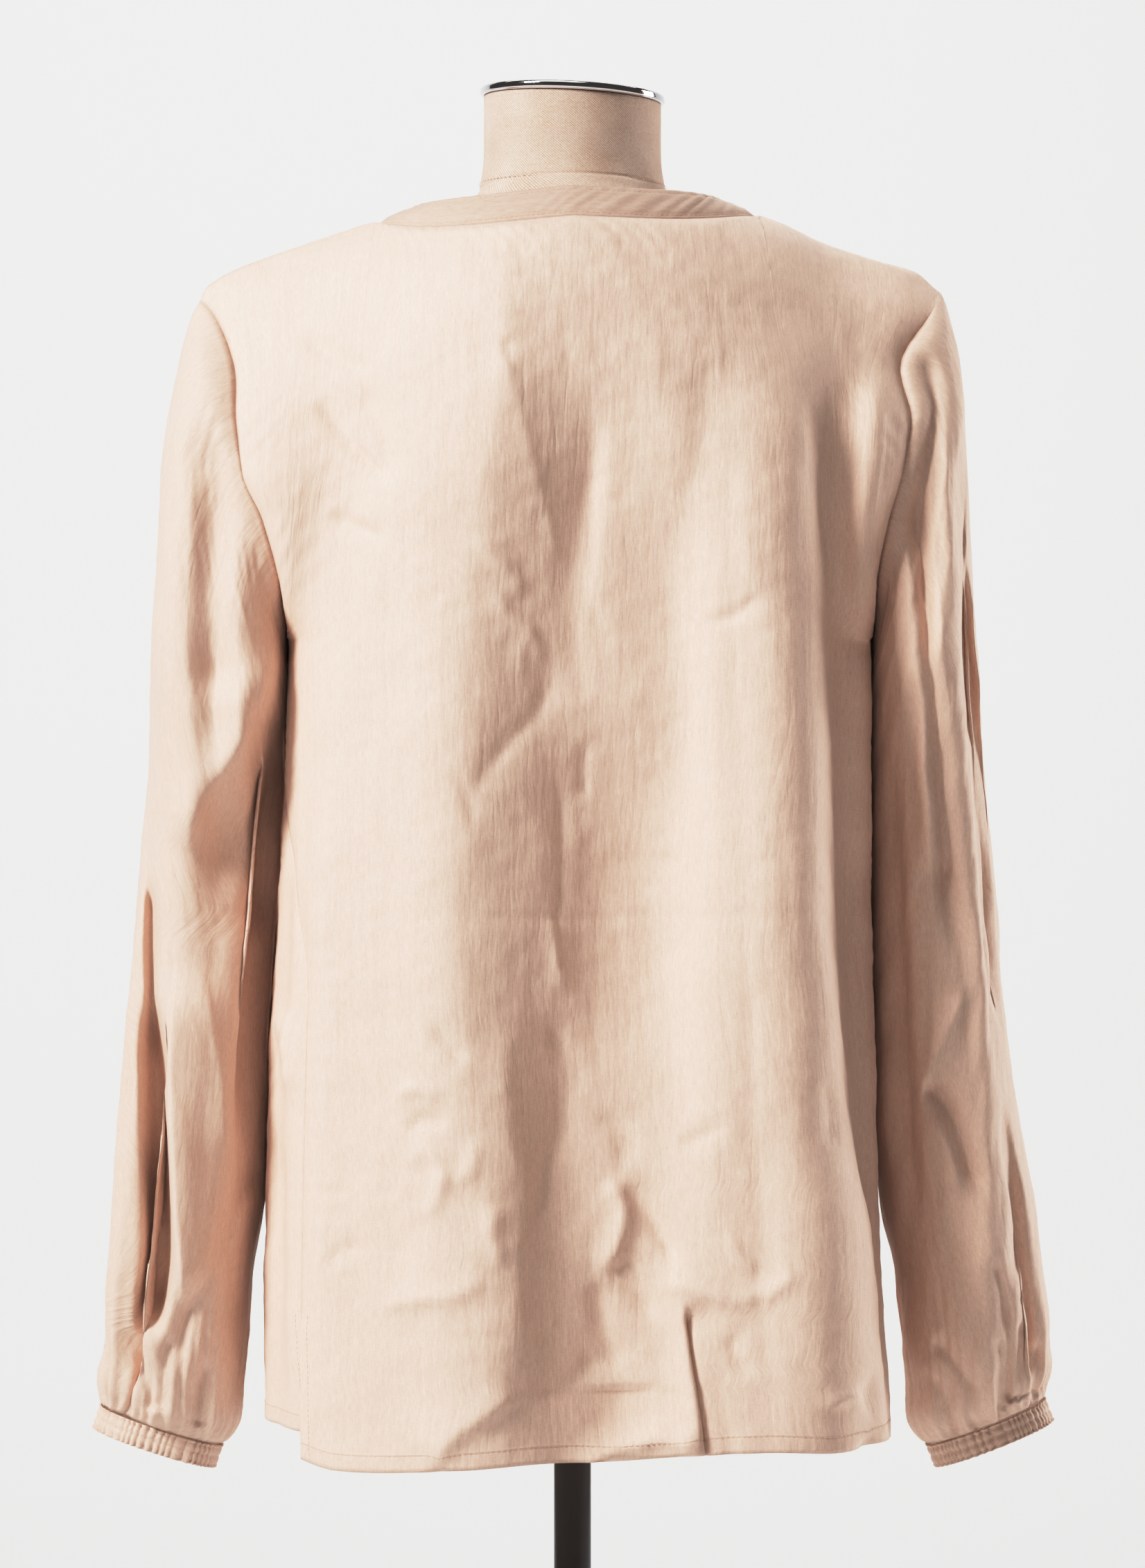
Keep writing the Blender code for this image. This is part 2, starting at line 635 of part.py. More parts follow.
def form_rows(face):
    columns = [2 * i / FORM_COLUMNS - 1 for i in range(FORM_COLUMNS + 1)]
    rows = []
    for r in range(FORM_UPPER_ROWS + 1):
        rows.append(
            [curve_point(upper_column(a, face, "form"), r / FORM_UPPER_ROWS) for a in columns]
        )
    for r in range(1, FORM_LOWER_ROWS + 1):
        height = mix(CHEST, TORSO_FOOT, r / FORM_LOWER_ROWS)
        angles = [a * math.pi / 2 for a in columns]
        if face == "front":
            angles = [wrapped(math.pi - a) for a in angles]
        rows.append([section_point(FORM_SECTIONS, height, a) for a in angles])
    return rows


def make_form(material):
    """Smooth torso of the form with closed armholes and foot, and its neck joined on."""

    def build(bm):
        for face in ("back", "front"):
            sheet(bm, form_rows(face))
        bmesh.ops.remove_doubles(bm, verts=bm.verts[:], dist=0.0002)
        open_edges = [edge for edge in bm.edges if edge.is_boundary]
        filled = bmesh.ops.holes_fill(bm, edges=open_edges, sides=0)["faces"]
        bmesh.ops.triangulate(bm, faces=[face for face in filled if face.is_valid])
        bmesh.ops.recalc_face_normals(bm, faces=bm.faces[:])

    body = new_object("form_body", build, material)

    def build_neck(bm):
        ring = [bm.verts.new((radius, 0, height)) for radius, height in NECK_PROFILE]
        edges = [bm.edges.new(pair) for pair in zip(ring, ring[1:])]
        bmesh.ops.spin(
            bm, geom=ring + edges, axis=(0, 0, 1), angle=2 * math.pi, steps=24, use_merge=True
        )
        bmesh.ops.remove_doubles(bm, verts=bm.verts[:], dist=0.0001)
        bmesh.ops.recalc_face_normals(bm, faces=bm.faces[:])
        for vert in bm.verts:
            radius = math.hypot(vert.co.x, vert.co.y)
            foot = 1 - smooth((vert.co.z - 1.429) / 0.026)
            vert.co.z += CAP_DROP * vert.co.x * smooth((vert.co.z - 1.435) / 0.045)
            vert.co.z -= NECK_SLOPE * (vert.co.y + radius) * foot
            vert.co.y += NECK_FORWARD

    neck = new_object("neck_union", build_neck, material)
    neck.hide_render = True
    neck.display_type = "WIRE"
    join = body.modifiers.new("neck", "BOOLEAN")
    join.operation = "UNION"
    join.object = neck
    join.solver = "EXACT"
    return body


def turned_disc(name, profile, material, steps=32, lean=0.0, shift=0.0):
    """A turned solid from an outline of (radius, height) pairs, its top to its foot."""

    def build(bm):
        ring = [bm.verts.new((radius, 0, height)) for radius, height in profile]
        edges = [bm.edges.new(pair) for pair in zip(ring, ring[1:])]
        bmesh.ops.spin(
            bm, geom=ring + edges, axis=(0, 0, 1), angle=2 * math.pi, steps=steps, use_merge=True
        )
        bmesh.ops.remove_doubles(bm, verts=bm.verts[:], dist=0.0001)
        bmesh.ops.recalc_face_normals(bm, faces=bm.faces[:])
        for vert in bm.verts:
            vert.co.z += lean * vert.co.x
            vert.co.y += shift

    return new_object(name, build, material)


def rounded_edge(radius, low, high, round_by, steps=3):
    """Outline of a disc's rim between two heights, with both corners rounded."""
    outline = []
    for k in range(steps + 1):
        turn = math.pi / 2 * k / steps
        outline.append((radius - round_by * (1 - math.sin(turn)), high - round_by * (1 - math.cos(turn))))
    for k in range(steps + 1):
        turn = math.pi / 2 * (1 - k / steps)
        outline.append((radius - round_by * (1 - math.sin(turn)), low + round_by * (1 - math.cos(turn))))
    return outline


def make_stand(chrome, black, steel):
    top = NECK_PROFILE[-1][1] + STAND_GAP
    rim = rounded_edge(CAP_RADIUS, top, top + CAP_THICKNESS, CAP_ROUND)
    disc = [(0, rim[0][1])] + rim + [(0, rim[-1][1])]
    turned_disc("neck_cap", disc, chrome, lean=CAP_DROP, shift=NECK_FORWARD)
    pole_top, pole_foot = TORSO_FOOT - STAND_GAP, BASE_THICKNESS + STAND_GAP
    turned_disc(
        "pole",
        [(0, pole_top), (POLE_RADIUS, pole_top), (POLE_RADIUS, pole_foot), (0, pole_foot)],
        black,
        steps=24,
    )
    rim = rounded_edge(BASE_RADIUS, 0.0, BASE_THICKNESS, BASE_ROUND)
    turned_disc("base", [(0, BASE_THICKNESS)] + rim + [(0, 0)], steel, steps=40)


def material(name, colour, roughness, metallic=0.0):
    made = bpy.data.materials.new(name)
    made.use_nodes = True
    shader = made.node_tree.nodes["Principled BSDF"]
    shader.inputs["Base Color"].default_value = (*colour, 1)
    shader.inputs["Roughness"].default_value = roughness
    shader.inputs["Metallic"].default_value = metallic
    return made


def main():
    for obj in list(bpy.data.objects):
        bpy.data.objects.remove(obj)
    blouse = material("blouse_cloth", (0.76, 0.60, 0.49), 0.75)
    cover = material("form_cover", (0.62, 0.46, 0.35), 0.85)
    chrome = material("cap_chrome", (0.80, 0.80, 0.82), 0.12, 1.0)
    black = material("pole_black", (0.03, 0.03, 0.035), 0.30)
    steel = material("base_black", (0.04, 0.04, 0.045), 0.40)
    back, front = panel_rows("back"), panel_rows("front")
    pieces = {
        "back_panel": (back, False),
        "front_panel": (front, False),
        "left_sleeve": (sleeve_rows("left", armhole("left", back, front)), True),
        "right_sleeve": (sleeve_rows("right", armhole("right", back, front)), True),
        "neckband": (band_rows(back, front), True),
    }
    shell = shell_normals(pieces.values())
    for name, (rows, closed) in pieces.items():
        thickness = BAND_CLOTH if name == "neckband" else CLOTH
        cloth_wall(name, rows, closed, thickness, blouse, shell)
    for side in ("left", "right"):
        make_cuff(side, blouse)
    make_form(cover)
    make_stand(chrome, black, steel)


main()
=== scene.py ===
import math

import bmesh
import bpy
import numpy as np
from mathutils import Matrix, Vector
from mathutils.bvhtree import BVHTree


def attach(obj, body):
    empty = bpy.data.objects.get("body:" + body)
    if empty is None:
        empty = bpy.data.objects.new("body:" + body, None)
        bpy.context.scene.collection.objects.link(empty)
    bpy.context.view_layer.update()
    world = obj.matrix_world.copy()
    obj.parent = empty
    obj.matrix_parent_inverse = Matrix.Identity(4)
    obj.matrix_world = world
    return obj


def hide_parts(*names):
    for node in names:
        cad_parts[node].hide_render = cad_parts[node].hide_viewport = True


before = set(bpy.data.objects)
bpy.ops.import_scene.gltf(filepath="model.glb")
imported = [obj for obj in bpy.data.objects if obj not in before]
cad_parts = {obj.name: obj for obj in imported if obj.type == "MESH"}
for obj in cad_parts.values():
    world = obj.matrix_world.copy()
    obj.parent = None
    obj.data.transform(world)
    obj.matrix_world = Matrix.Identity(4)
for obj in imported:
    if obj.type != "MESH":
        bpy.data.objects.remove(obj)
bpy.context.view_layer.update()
print("frame loaded:", len(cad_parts), "nodes")

# the cut of the blouse, the same named values as in the solid's source
cut = {
    "chest": 1.185, "squareness": 2.4, "ridgeForward": 0.004,
    "tip": {"left": 0.2135, "right": 0.2075},
    # height, left, right, back, front
    "sections": (
        (0.700, 0.1745, 0.1720, 0.1190, 0.1150), (0.820, 0.1735, 0.1695, 0.1170, 0.1180),
        (0.950, 0.1705, 0.1680, 0.1150, 0.1230), (1.080, 0.1630, 0.1670, 0.1120, 0.1280),
        (1.185, 0.1590, 0.1670, 0.1090, 0.1310),
    ),
    # out from the middle, height on the left, height on the right
    "ridge": (
        (0.000, 1.4370, 1.4370), (0.058, 1.4305, 1.4325), (0.085, 1.4260, 1.4290),
        (0.112, 1.4207, 1.4228), (0.1455, 1.4117, 1.4094), (0.172, 1.4028, 1.4008),
        (0.193, 1.3945, 1.3947), (0.2075, 1.3852, 1.3820), (0.2140, 1.3763, 1.3750),
    ),
    "run": {"back": (0.138, 0.066), "front": (0.098, 0.062)},
    "hold": {"back": 0.115, "front": 0.120}, "neckRound": 0.018,
    "armholeUpper": (-0.040, 0.076, -0.030), "armholeLower": (0.016, 0.090, 0.012),
    # height, how far out the armhole's edge strays on the left, and on the right
    "armholeWave": (
        (1.1850, 0.0, 0.0), (1.1935, -0.0040, -0.0037), (1.2160, -0.0060, -0.0055),
        (1.2500, -0.0024, -0.0015), (1.2760, 0.0050, 0.0043), (1.3040, 0.0034, 0.0064),
        (1.3400, -0.0030, -0.0040), (1.3700, -0.0035, 0.0040), (1.3860, 0.0, 0.0),
    ),
    "neckHalfWidth": 0.108, "neckBackDepth": 0.0785, "neckShift": -0.003, "vPoint": 1.300, "vBow": 0.010,
    "seamSwing": math.radians(34), "swingTop": 1.150, "swingEnd": 0.980,
    "ventLength": 0.080, "frontSlip": 0.005, "frontHemRise": {"left": 0.018, "right": 0.022},
    "hemLine": (
        (-1.00, 0.7345), (-0.45, 0.7306), (0.00, 0.7380), (0.45, 0.7430), (0.85, 0.7430), (1.00, 0.7395),
    ),
    # degrees at the chest and at the hem, half-width, depth out, top, end
    "folds": (
        (-23, -14, 15, 0.0045, 1.300, 0.700), (9, 5, 17, -0.0095, 1.290, 0.700),
        (37, 46, 13, 0.0070, 1.350, 0.700), (58, 66, 13, -0.0050, 1.330, 0.720),
        (-52, -48, 12, 0.0030, 1.250, 0.720), (-74, -70, 9, -0.0035, 1.150, 0.700),
        (78, 80, 9, 0.0025, 1.160, 0.720), (14, 24, 6, 0.0050, 0.860, 0.690),
        (-140, -136, 16, 0.0060, 1.200, 0.700), (-162, -164, 13, -0.0060, 1.190, 0.700),
        (176, 180, 12, 0.0050, 1.180, 0.700), (152, 150, 14, -0.0070, 1.190, 0.700),
        (126, 122, 14, 0.0055, 1.200, 0.700),
    ),
    # how finely each panel is woven: columns round the neck, along a shoulder, rows to the chest, vent and hem
    "neckColumns": 118, "shoulderColumns": 32, "upperRows": 108, "lowerRows": 124, "ventRows": 28,
}


def smooth(value):
    value = np.clip(value, 0.0, 1.0)
    return value * value * (3 - 2 * value)


def mix(a, b, share):
    return a + (b - a) * share


def power(value, exponent):
    return np.sign(value) * np.abs(value) ** exponent


def unit(vectors):
    return vectors / np.maximum(np.linalg.norm(vectors, axis=-1, keepdims=True), 1e-12)


def point(x, y, z):
    return np.stack(np.broadcast_arrays(x, y, z), axis=-1).astype(float)


# reads a column of a table on a smooth curve between its rows
def readTable(table, column, at):
    rows = np.asarray(table, float)
    keys, values = rows[:, 0], rows[:, column]
    slopes = np.diff(values) / np.diff(keys)
    tangents = np.concatenate([slopes[:1], np.zeros(len(keys) - 2), slopes[-1:]])
    rising = slopes[:-1] * slopes[1:] > 0
    total = np.where(rising, slopes[:-1] + slopes[1:], 1.0)
    tangents[1:-1] = np.where(rising, 2 * slopes[:-1] * slopes[1:] / total, 0.0)
    at = np.clip(at, keys[0], keys[-1])
    i = np.clip(np.searchsorted(keys, at, side="right") - 1, 0, len(keys) - 2)
    span = keys[i + 1] - keys[i]
    t = (at - keys[i]) / span
    value = values[i] * (2 * t**3 - 3 * t**2 + 1) + values[i + 1] * (3 * t**2 - 2 * t**3)
    return value + span * (tangents[i] * (t**3 - 2 * t**2 + t) + tangents[i + 1] * (t**3 - t**2))


def foldDepth(folds, degrees, height):
    total = 0.0
    for topAt, endAt, halfWidth, depth, top, end in folds:
        down = (top - height) / (top - end)
        away = (degrees - mix(topAt, endAt, np.clip(down, 0, 1)) + 180) % 360 - 180
        bell = smooth(1 - np.abs(away / halfWidth))
        total = total + depth * bell * smooth(down * 3) * smooth((1 - down) * 5)
    return total


def wrapped(angle):
    return (angle + math.pi) % (2 * math.pi) - math.pi


def sectionPoint(sections, height, angle):
    side = np.where(angle > 0, readTable(sections, 2, height), readTable(sections, 1, height))
    depth = np.where(np.cos(angle) > 0, readTable(sections, 3, height), readTable(sections, 4, height))
    x = side * power(np.sin(angle), 2 / cut["squareness"])
    return point(x, -depth * power(np.cos(angle), 2 / cut["squareness"]), height)


def ridgeHeight(x):
    left, right = readTable(cut["ridge"], 1, np.abs(x)), readTable(cut["ridge"], 2, np.abs(x))
    return mix(left, right, smooth(0.5 + x / 0.16))


# the left side seam swings to the back below the waist
def seamAngle(across, height, face):
    swing = cut["seamSwing"] * smooth((cut["swingTop"] - height) / (cut["swingTop"] - cut["swingEnd"]))
    swing = -swing if face == "back" else swing
    turn = across * math.pi / 2 - np.clip((-0.5 - across) / 0.5, 0, 1) * swing
    return turn if face == "back" else math.pi - turn


# four control points of each column, from the shoulder seam down to the armpits' level
def columnHandles(across, face, sections, inset=0.0, tipInset=0.0, short=0.0):
    sign, share = np.where(across < 0, -1.0, 1.0), np.abs(across)
    facing = -1.0 if face == "back" else 1.0
    lowered = mix(inset, tipInset, smooth(2 * share - 1))
    reach = np.where(across < 0, cut["tip"]["left"], cut["tip"]["right"]) - short
    x, forward = sign * share * reach, cut["ridgeForward"]
    top = point(x, forward, ridgeHeight(x) - lowered)
    run = mix(*cut["run"][face], smooth(share)) - lowered
    rounding = cut["neckRound"] * (1 - smooth(share / 0.6)) if face == "back" else 0.002
    level = point(x, forward + facing * run, top[:, 2] - 0.002 + rounding)
    at = wrapped(seamAngle(across, cut["chest"], face))
    chest = sectionPoint(sections, cut["chest"], at)
    rise = sectionPoint(cut["sections"], cut["chest"], at) - sectionPoint(cut["sections"], cut["chest"] - 0.01, at)
    held = chest + rise * (cut["hold"][face] / 0.01)
    edge, armpit = smooth((share - 0.45) / 0.55), smooth((share - 0.48) / 0.52)
    (ux, uy, uz), (lx, ly, lz) = cut["armholeUpper"], cut["armholeLower"]
    upper, lower = top + point(sign * ux, facing * uy, uz), chest + point(sign * lx, facing * ly, lz)
    return top, mix(level, upper, edge[:, None]), mix(held, lower, armpit[:, None]), chest


def columnPoint(handles, t):
    a, b, c, d = handles
    t = np.asarray(t, float)[..., None]
    spot = a * (1 - t) ** 3 + b * (3 * t * (1 - t) ** 2) + c * (3 * t * t * (1 - t)) + d * t**3
    left = a[:, 0] < 0
    z = spot[..., 2]
    wave = np.where(left, readTable(cut["armholeWave"], 1, z), readTable(cut["armholeWave"], 2, z))
    near = smooth((np.abs(a[:, 0]) / np.where(left, cut["tip"]["left"], cut["tip"]["right"]) - 0.60) / 0.40)
    spot[..., 0] += np.sign(a[:, 0]) * wave * near
    return spot


def inNeckHole(spot, face, margin):
    x, halfWidth = spot[..., 0] - cut["neckShift"], cut["neckHalfWidth"] - margin
    if face == "back":
        y = np.minimum(0.0, spot[..., 1] - cut["ridgeForward"])
        return (x / halfWidth) ** 2 + (y / (cut["neckBackDepth"] - margin * 0.62)) ** 2 < 1
    share = np.minimum(1.0, np.abs(x) / halfWidth)
    line = mix(cut["vPoint"] + margin * 1.75, ridgeHeight(spot[..., 0]), share) - cut["vBow"] * np.sin(math.pi * share)
    return (np.abs(x) < halfWidth) & (spot[..., 2] > line)


# share of each column at which it comes out of the neck hole
def neckStart(handles, face, margin=0.0):
    low, high = np.zeros(len(handles[0])), np.ones(len(handles[0]))
    covered = ~inNeckHole(columnPoint(handles, low), face, margin)
    for _ in range(40):
        middle = (low + high) / 2
        inside = inNeckHole(columnPoint(handles, middle), face, margin)
        low, high = np.where(inside, middle, low), np.where(inside, high, middle)
    return np.where(covered, 0.0, high)


def neckAcross(fraction, margin=0.0):
    x = cut["neckShift"] + fraction * (cut["neckHalfWidth"] - margin)
    return x / np.where(x < 0, cut["tip"]["left"], cut["tip"]["right"])


def neckFractions():
    even = np.linspace(-1, 1, cut["neckColumns"] + 1)
    return mix(power(even, 1.2), power(np.sin(math.pi / 2 * even), 1.2), 0.3)


def bodyColumns():
    inner, steps = neckAcross(neckFractions()), np.linspace(0, 1, cut["shoulderColumns"] + 1)
    left, right = mix(-1.0, inner[0], steps**1.2)[:-1], mix(1.0, inner[-1], steps**1.2)[:-1]
    return np.concatenate([left, inner, right[::-1]])


def hemHeight(across, face):
    rise = np.where(across < 0, cut["frontHemRise"]["left"], cut["frontHemRise"]["right"])
    spread = readTable(cut["hemLine"], 1, across if face == "back" else across * 0.5)
    return spread + (rise if face == "front" else 0.0)


# rows of points of the back or the front, from the shoulders and neckline down to the hem
def panelGrid(face):
    across = bodyColumns()
    handles = columnHandles(across, face, cut["sections"])
    start = neckStart(handles, face)
    t = mix(start[None, :], 1.0, np.linspace(0, 1, cut["upperRows"] + 1)[:, None])
    upper = columnPoint(handles, t)
    turn = wrapped(seamAngle(across[None, :], upper[..., 2], face))
    inside = (np.abs(across) < 0.999)[None, :] * smooth(np.arange(cut["upperRows"] + 1) / 3)[:, None]
    out = unit(point(np.sin(turn), -np.cos(turn) * 1.3, 0))
    upper += out * (foldDepth(cut["folds"], np.degrees(turn), upper[..., 2]) * inside)[..., None]
    ventTop = cut["hemLine"][0][1] + cut["ventLength"]
    down = np.linspace(0, 1, cut["lowerRows"] + 1)[1:, None]
    low = np.linspace(0, 1, cut["ventRows"] + 1)[1:, None]
    height = np.concatenate([
        mix(cut["chest"], ventTop, down) + 0 * across[None, :],
        mix(ventTop, hemHeight(across, face)[None, :], low),
    ])
    turn = wrapped(seamAngle(across[None, :], height, face))
    lower = sectionPoint(cut["sections"], height, turn)
    out = unit(point(np.sin(turn), -np.cos(turn) * 1.3, 0))
    lower += out * foldDepth(cut["folds"], np.degrees(turn), height)[..., None]
    if face == "front":
        slip = cut["frontSlip"] * low * smooth((np.abs(across) - 0.7) / 0.3)[None, :]
        lower[cut["lowerRows"]:] -= unit(lower[cut["lowerRows"]:] * (1, 1, 0)) * slip[..., None]
    return np.concatenate([upper, lower])


sleeveCut = {
    "squareness": 2.2, "forward": 0.020, "forwardTop": 1.200, "forwardEnd": 1.060,
    # inner x and z, outer x and z, depth to the back and to the front
    "left": (
        (0.1600, 1.1830, 0.2195, 1.3620, 0.0610, 0.0610), (0.1598, 1.1800, 0.2240, 1.3370, 0.0640, 0.0640),
        (0.1597, 1.1760, 0.2280, 1.3080, 0.0660, 0.0660), (0.1597, 1.1710, 0.2310, 1.2740, 0.0680, 0.0680),
        (0.1598, 1.1640, 0.2335, 1.2380, 0.0690, 0.0690), (0.1601, 1.1540, 0.2358, 1.1980, 0.0695, 0.0690),
        (0.1605, 1.1380, 0.2375, 1.1580, 0.0690, 0.0690), (0.1612, 1.1080, 0.2390, 1.1150, 0.0690, 0.0680),
        (0.1630, 1.0650, 0.2440, 1.0650, 0.0680, 0.0680), (0.1660, 1.0150, 0.2480, 1.0150, 0.0670, 0.0670),
        (0.1692, 0.9650, 0.2517, 0.9650, 0.0660, 0.0665), (0.1708, 0.9150, 0.2557, 0.9150, 0.0660, 0.0660),
        (0.1745, 0.8700, 0.2587, 0.8700, 0.0650, 0.0650), (0.1815, 0.8280, 0.2612, 0.8300, 0.0620, 0.0620),
        (0.1845, 0.7930, 0.2632, 0.8000, 0.0560, 0.0560), (0.1885, 0.7640, 0.2640, 0.7770, 0.0460, 0.0460),
        (0.1940, 0.7425, 0.2635, 0.7620, 0.0330, 0.0330), (0.1985, 0.7315, 0.2668, 0.7540, 0.0255, 0.0255),
    ),
    "right": (
        (0.1672, 1.1830, 0.2135, 1.3700, 0.0610, 0.0610), (0.1670, 1.1800, 0.2180, 1.3460, 0.0640, 0.0640),
        (0.1668, 1.1760, 0.2205, 1.3170, 0.0660, 0.0660), (0.1667, 1.1710, 0.2215, 1.2820, 0.0680, 0.0680),
        (0.1666, 1.1640, 0.2235, 1.2400, 0.0690, 0.0690), (0.1665, 1.1540, 0.2252, 1.1980, 0.0695, 0.0690),
        (0.1662, 1.1380, 0.2290, 1.1580, 0.0690, 0.0690), (0.1662, 1.1080, 0.2320, 1.1150, 0.0690, 0.0680),
        (0.1662, 1.0650, 0.2370, 1.0650, 0.0680, 0.0680), (0.1668, 1.0150, 0.2410, 1.0150, 0.0670, 0.0670),
        (0.1674, 0.9650, 0.2455, 0.9650, 0.0660, 0.0665), (0.1686, 0.9150, 0.2530, 0.9150, 0.0660, 0.0660),
        (0.1740, 0.8700, 0.2610, 0.8700, 0.0650, 0.0650), (0.1830, 0.8280, 0.2660, 0.8300, 0.0620, 0.0620),
        (0.1870, 0.7930, 0.2695, 0.8000, 0.0560, 0.0560), (0.1910, 0.7640, 0.2675, 0.7790, 0.0460, 0.0460),
        (0.1960, 0.7425, 0.2640, 0.7650, 0.0330, 0.0330), (0.2005, 0.7315, 0.2668, 0.7575, 0.0255, 0.0255),
    ),
    # degrees from the outer side towards the back at the top and at the end, half-width, depth, top, end
    "leftFolds": (
        (62, 52, 17, -0.0150, 1.020, 0.735), (30, 30, 14, 0.0040, 1.060, 0.760), (78, 100, 20, -0.0060, 1.330, 1.020),
        (112, 118, 16, 0.0040, 1.220, 0.800), (150, 135, 20, -0.0090, 1.160, 0.900),
        (-60, -60, 18, -0.0100, 1.020, 0.745), (-105, -110, 22, -0.0060, 1.250, 0.900),
    ),
    "rightFolds": (
        (98, 78, 14, -0.0090, 1.310, 1.000), (66, 60, 14, 0.0040, 1.330, 0.900), (34, 34, 12, -0.0080, 1.240, 0.960),
        (48, 40, 12, -0.0070, 0.930, 0.740), (132, 128, 20, -0.0060, 1.150, 0.840),
        (-60, -60, 18, -0.0100, 1.020, 0.745), (-105, -110, 22, -0.0060, 1.250, 0.900),
    ),
    "leaving": (1.0, 0.45, 0.15, 0.0),      # how much of the armhole's shape the first sections keep
    "gathers": 8, "gatherDepth": 0.0026, "gatherReach": 0.060,
    "fineGathers": ((17, 0.45, 1.0), (38, 0.6, 2.0), (31, 0.3, 0.4)),       # how many, share, phase
    "fineDepth": 0.0015, "fineReach": 0.085, "rows": 200, "wristStart": 0.742,
    "blousing": 0.0035, "blousingAt": 0.016, "blousingReach": 0.013, "tuck": 0.0012, "tuckReach": 0.003,
}


# ring of the armhole: the shoulder's tip, down the back's edge, and up the front's
def armhole(side, back, front):
    end, rows = (0 if side == "left" else -1), cut["upperRows"]
    return np.concatenate([back[: rows + 1, end], front[1:rows, end][::-1]])


def sleeveGrid(side, seam):
    sign, table = (-1 if side == "left" else 1), np.array(sleeveCut[side])
    indexed = np.column_stack([np.arange(len(table)), table])
    angle = np.arange(len(seam)) / len(seam) * 2 * math.pi
    degrees = (np.degrees(angle) + 180) % 360 - 180

    def rings(u):
        k = np.clip(np.asarray(u, float) - 1, 0, None)[:, None]
        innerX, innerZ, outerX, outerZ, back, front = [readTable(indexed, c, k) for c in range(1, 7)]
        depth = np.where(angle <= math.pi, back, front)
        share = 0.5 + 0.5 * power(np.cos(angle), 2 / sleeveCut["squareness"])
        z = mix(innerZ, outerZ, share)
        push = foldDepth(sleeveCut[side + "Folds"], degrees, z)
        gather = np.cos(sleeveCut["gathers"] * angle) * (0.75 + 0.25 * np.cos(3 * angle + 1))
        strength = mix(1.0, 0.35, np.clip(k - (len(table) - 2), 0, 1))
        near = smooth(1 - (z - sleeveCut["wristStart"]) / sleeveCut["gatherReach"])
        push = push + sleeveCut["gatherDepth"] * strength * gather * near
        out = unit(point(np.cos(angle), -np.sin(angle) * 0.6, 0)) * push[..., None]
        x = sign * (mix(innerX, outerX, share) + out[..., 0])
        hang = (sleeveCut["forwardTop"] - z) / (sleeveCut["forwardTop"] - sleeveCut["forwardEnd"])
        middle = sleeveCut["forward"] * smooth(hang)
        y = middle + out[..., 1] - depth * power(np.sin(angle), 2 / sleeveCut["squareness"])
        stay = np.interp(np.clip(u, 1, None), range(4), sleeveCut["leaving"])[:, None]
        ring = point(mix(x, seam[:, 0], stay * 0.6), mix(y, seam[:, 1], stay), z)
        near = np.clip(np.asarray(u, float), 0, 1)[:, None, None]
        return mix(seam[None], ring, near)

    whole = rings(np.arange(len(table) + 1.0))
    steps = np.linalg.norm(np.diff(whole, axis=0), axis=2).mean(axis=1)
    along = np.concatenate([[0], np.cumsum(steps)])
    grid = rings(np.interp(np.linspace(0, along[-1], sleeveCut["rows"] + 1), along, np.arange(len(along))))
    for _ in range(6):      # eases the first rings into the armhole
        eased = grid.copy()
        eased[1:-1] = (grid[:-2] + 2 * grid[1:-1] + grid[2:]) / 4
        share = np.clip((40 - np.arange(len(grid))) / 20, 0, 1)[:, None, None]
        grid = mix(grid, eased, share)
    return grid


cuffCut = {
    "width": 0.0130, "start": 0.0006, "ruffles": 54, "ruffleDepth": 0.0010, "swell": 0.0006, "rows": 14,
    "ringPoints": 432, "wall": 0.0009, "stitchRows": (0.14, 0.52, 0.90), "heldReach": 0.07,
}


def cuffGrid(side):
    sign = -1 if side == "left" else 1
    innerX, innerZ, outerX, outerZ, depth, _ = sleeveCut[side][-1]
    across = np.array((sign * (outerX - innerX), 0, outerZ - innerZ))
    halfWidth = np.linalg.norm(across) / 2
    across = unit(across)
    down = np.array((across[2] * sign, 0, -across[0] * sign))
    down = down if down[2] < 0 else -down
    middle = np.array((sign * (outerX + innerX) / 2, sleeveCut["forward"], (outerZ + innerZ) / 2))
    angle = np.arange(cuffCut["ringPoints"]) / cuffCut["ringPoints"] * 2 * math.pi
    step = np.linspace(0, 1, cuffCut["rows"] + 1)[:, None]
    uneven = angle + 0.05 * np.sin(5 * angle + sign) + 0.03 * np.sin(11 * angle)
    height = 2 * np.abs(np.cos(cuffCut["ruffles"] / 2 * uneven)) ** 0.8 - 1.1
    height = height * (0.75 + 0.25 * np.sin(7 * angle + 2 * sign))
    held = sum(np.exp(-(((step - at) / cuffCut["heldReach"]) ** 2)) for at in cuffCut["stitchRows"])
    flare = 0.45 + 0.55 * np.abs(2 * step - 1) ** 1.5
    push = cuffCut["ruffleDepth"] * height[None, :] * flare + cuffCut["swell"] * (1 - held)
    x = (halfWidth + push) * power(np.cos(angle), 2 / sleeveCut["squareness"])
    y = -(depth + push) * power(np.sin(angle), 2 / sleeveCut["squareness"])
    centre = middle + down * (cuffCut["start"] + cuffCut["width"] * step)[..., None]
    return centre + across * x[..., None] + point(0 * x, y, 0 * x)


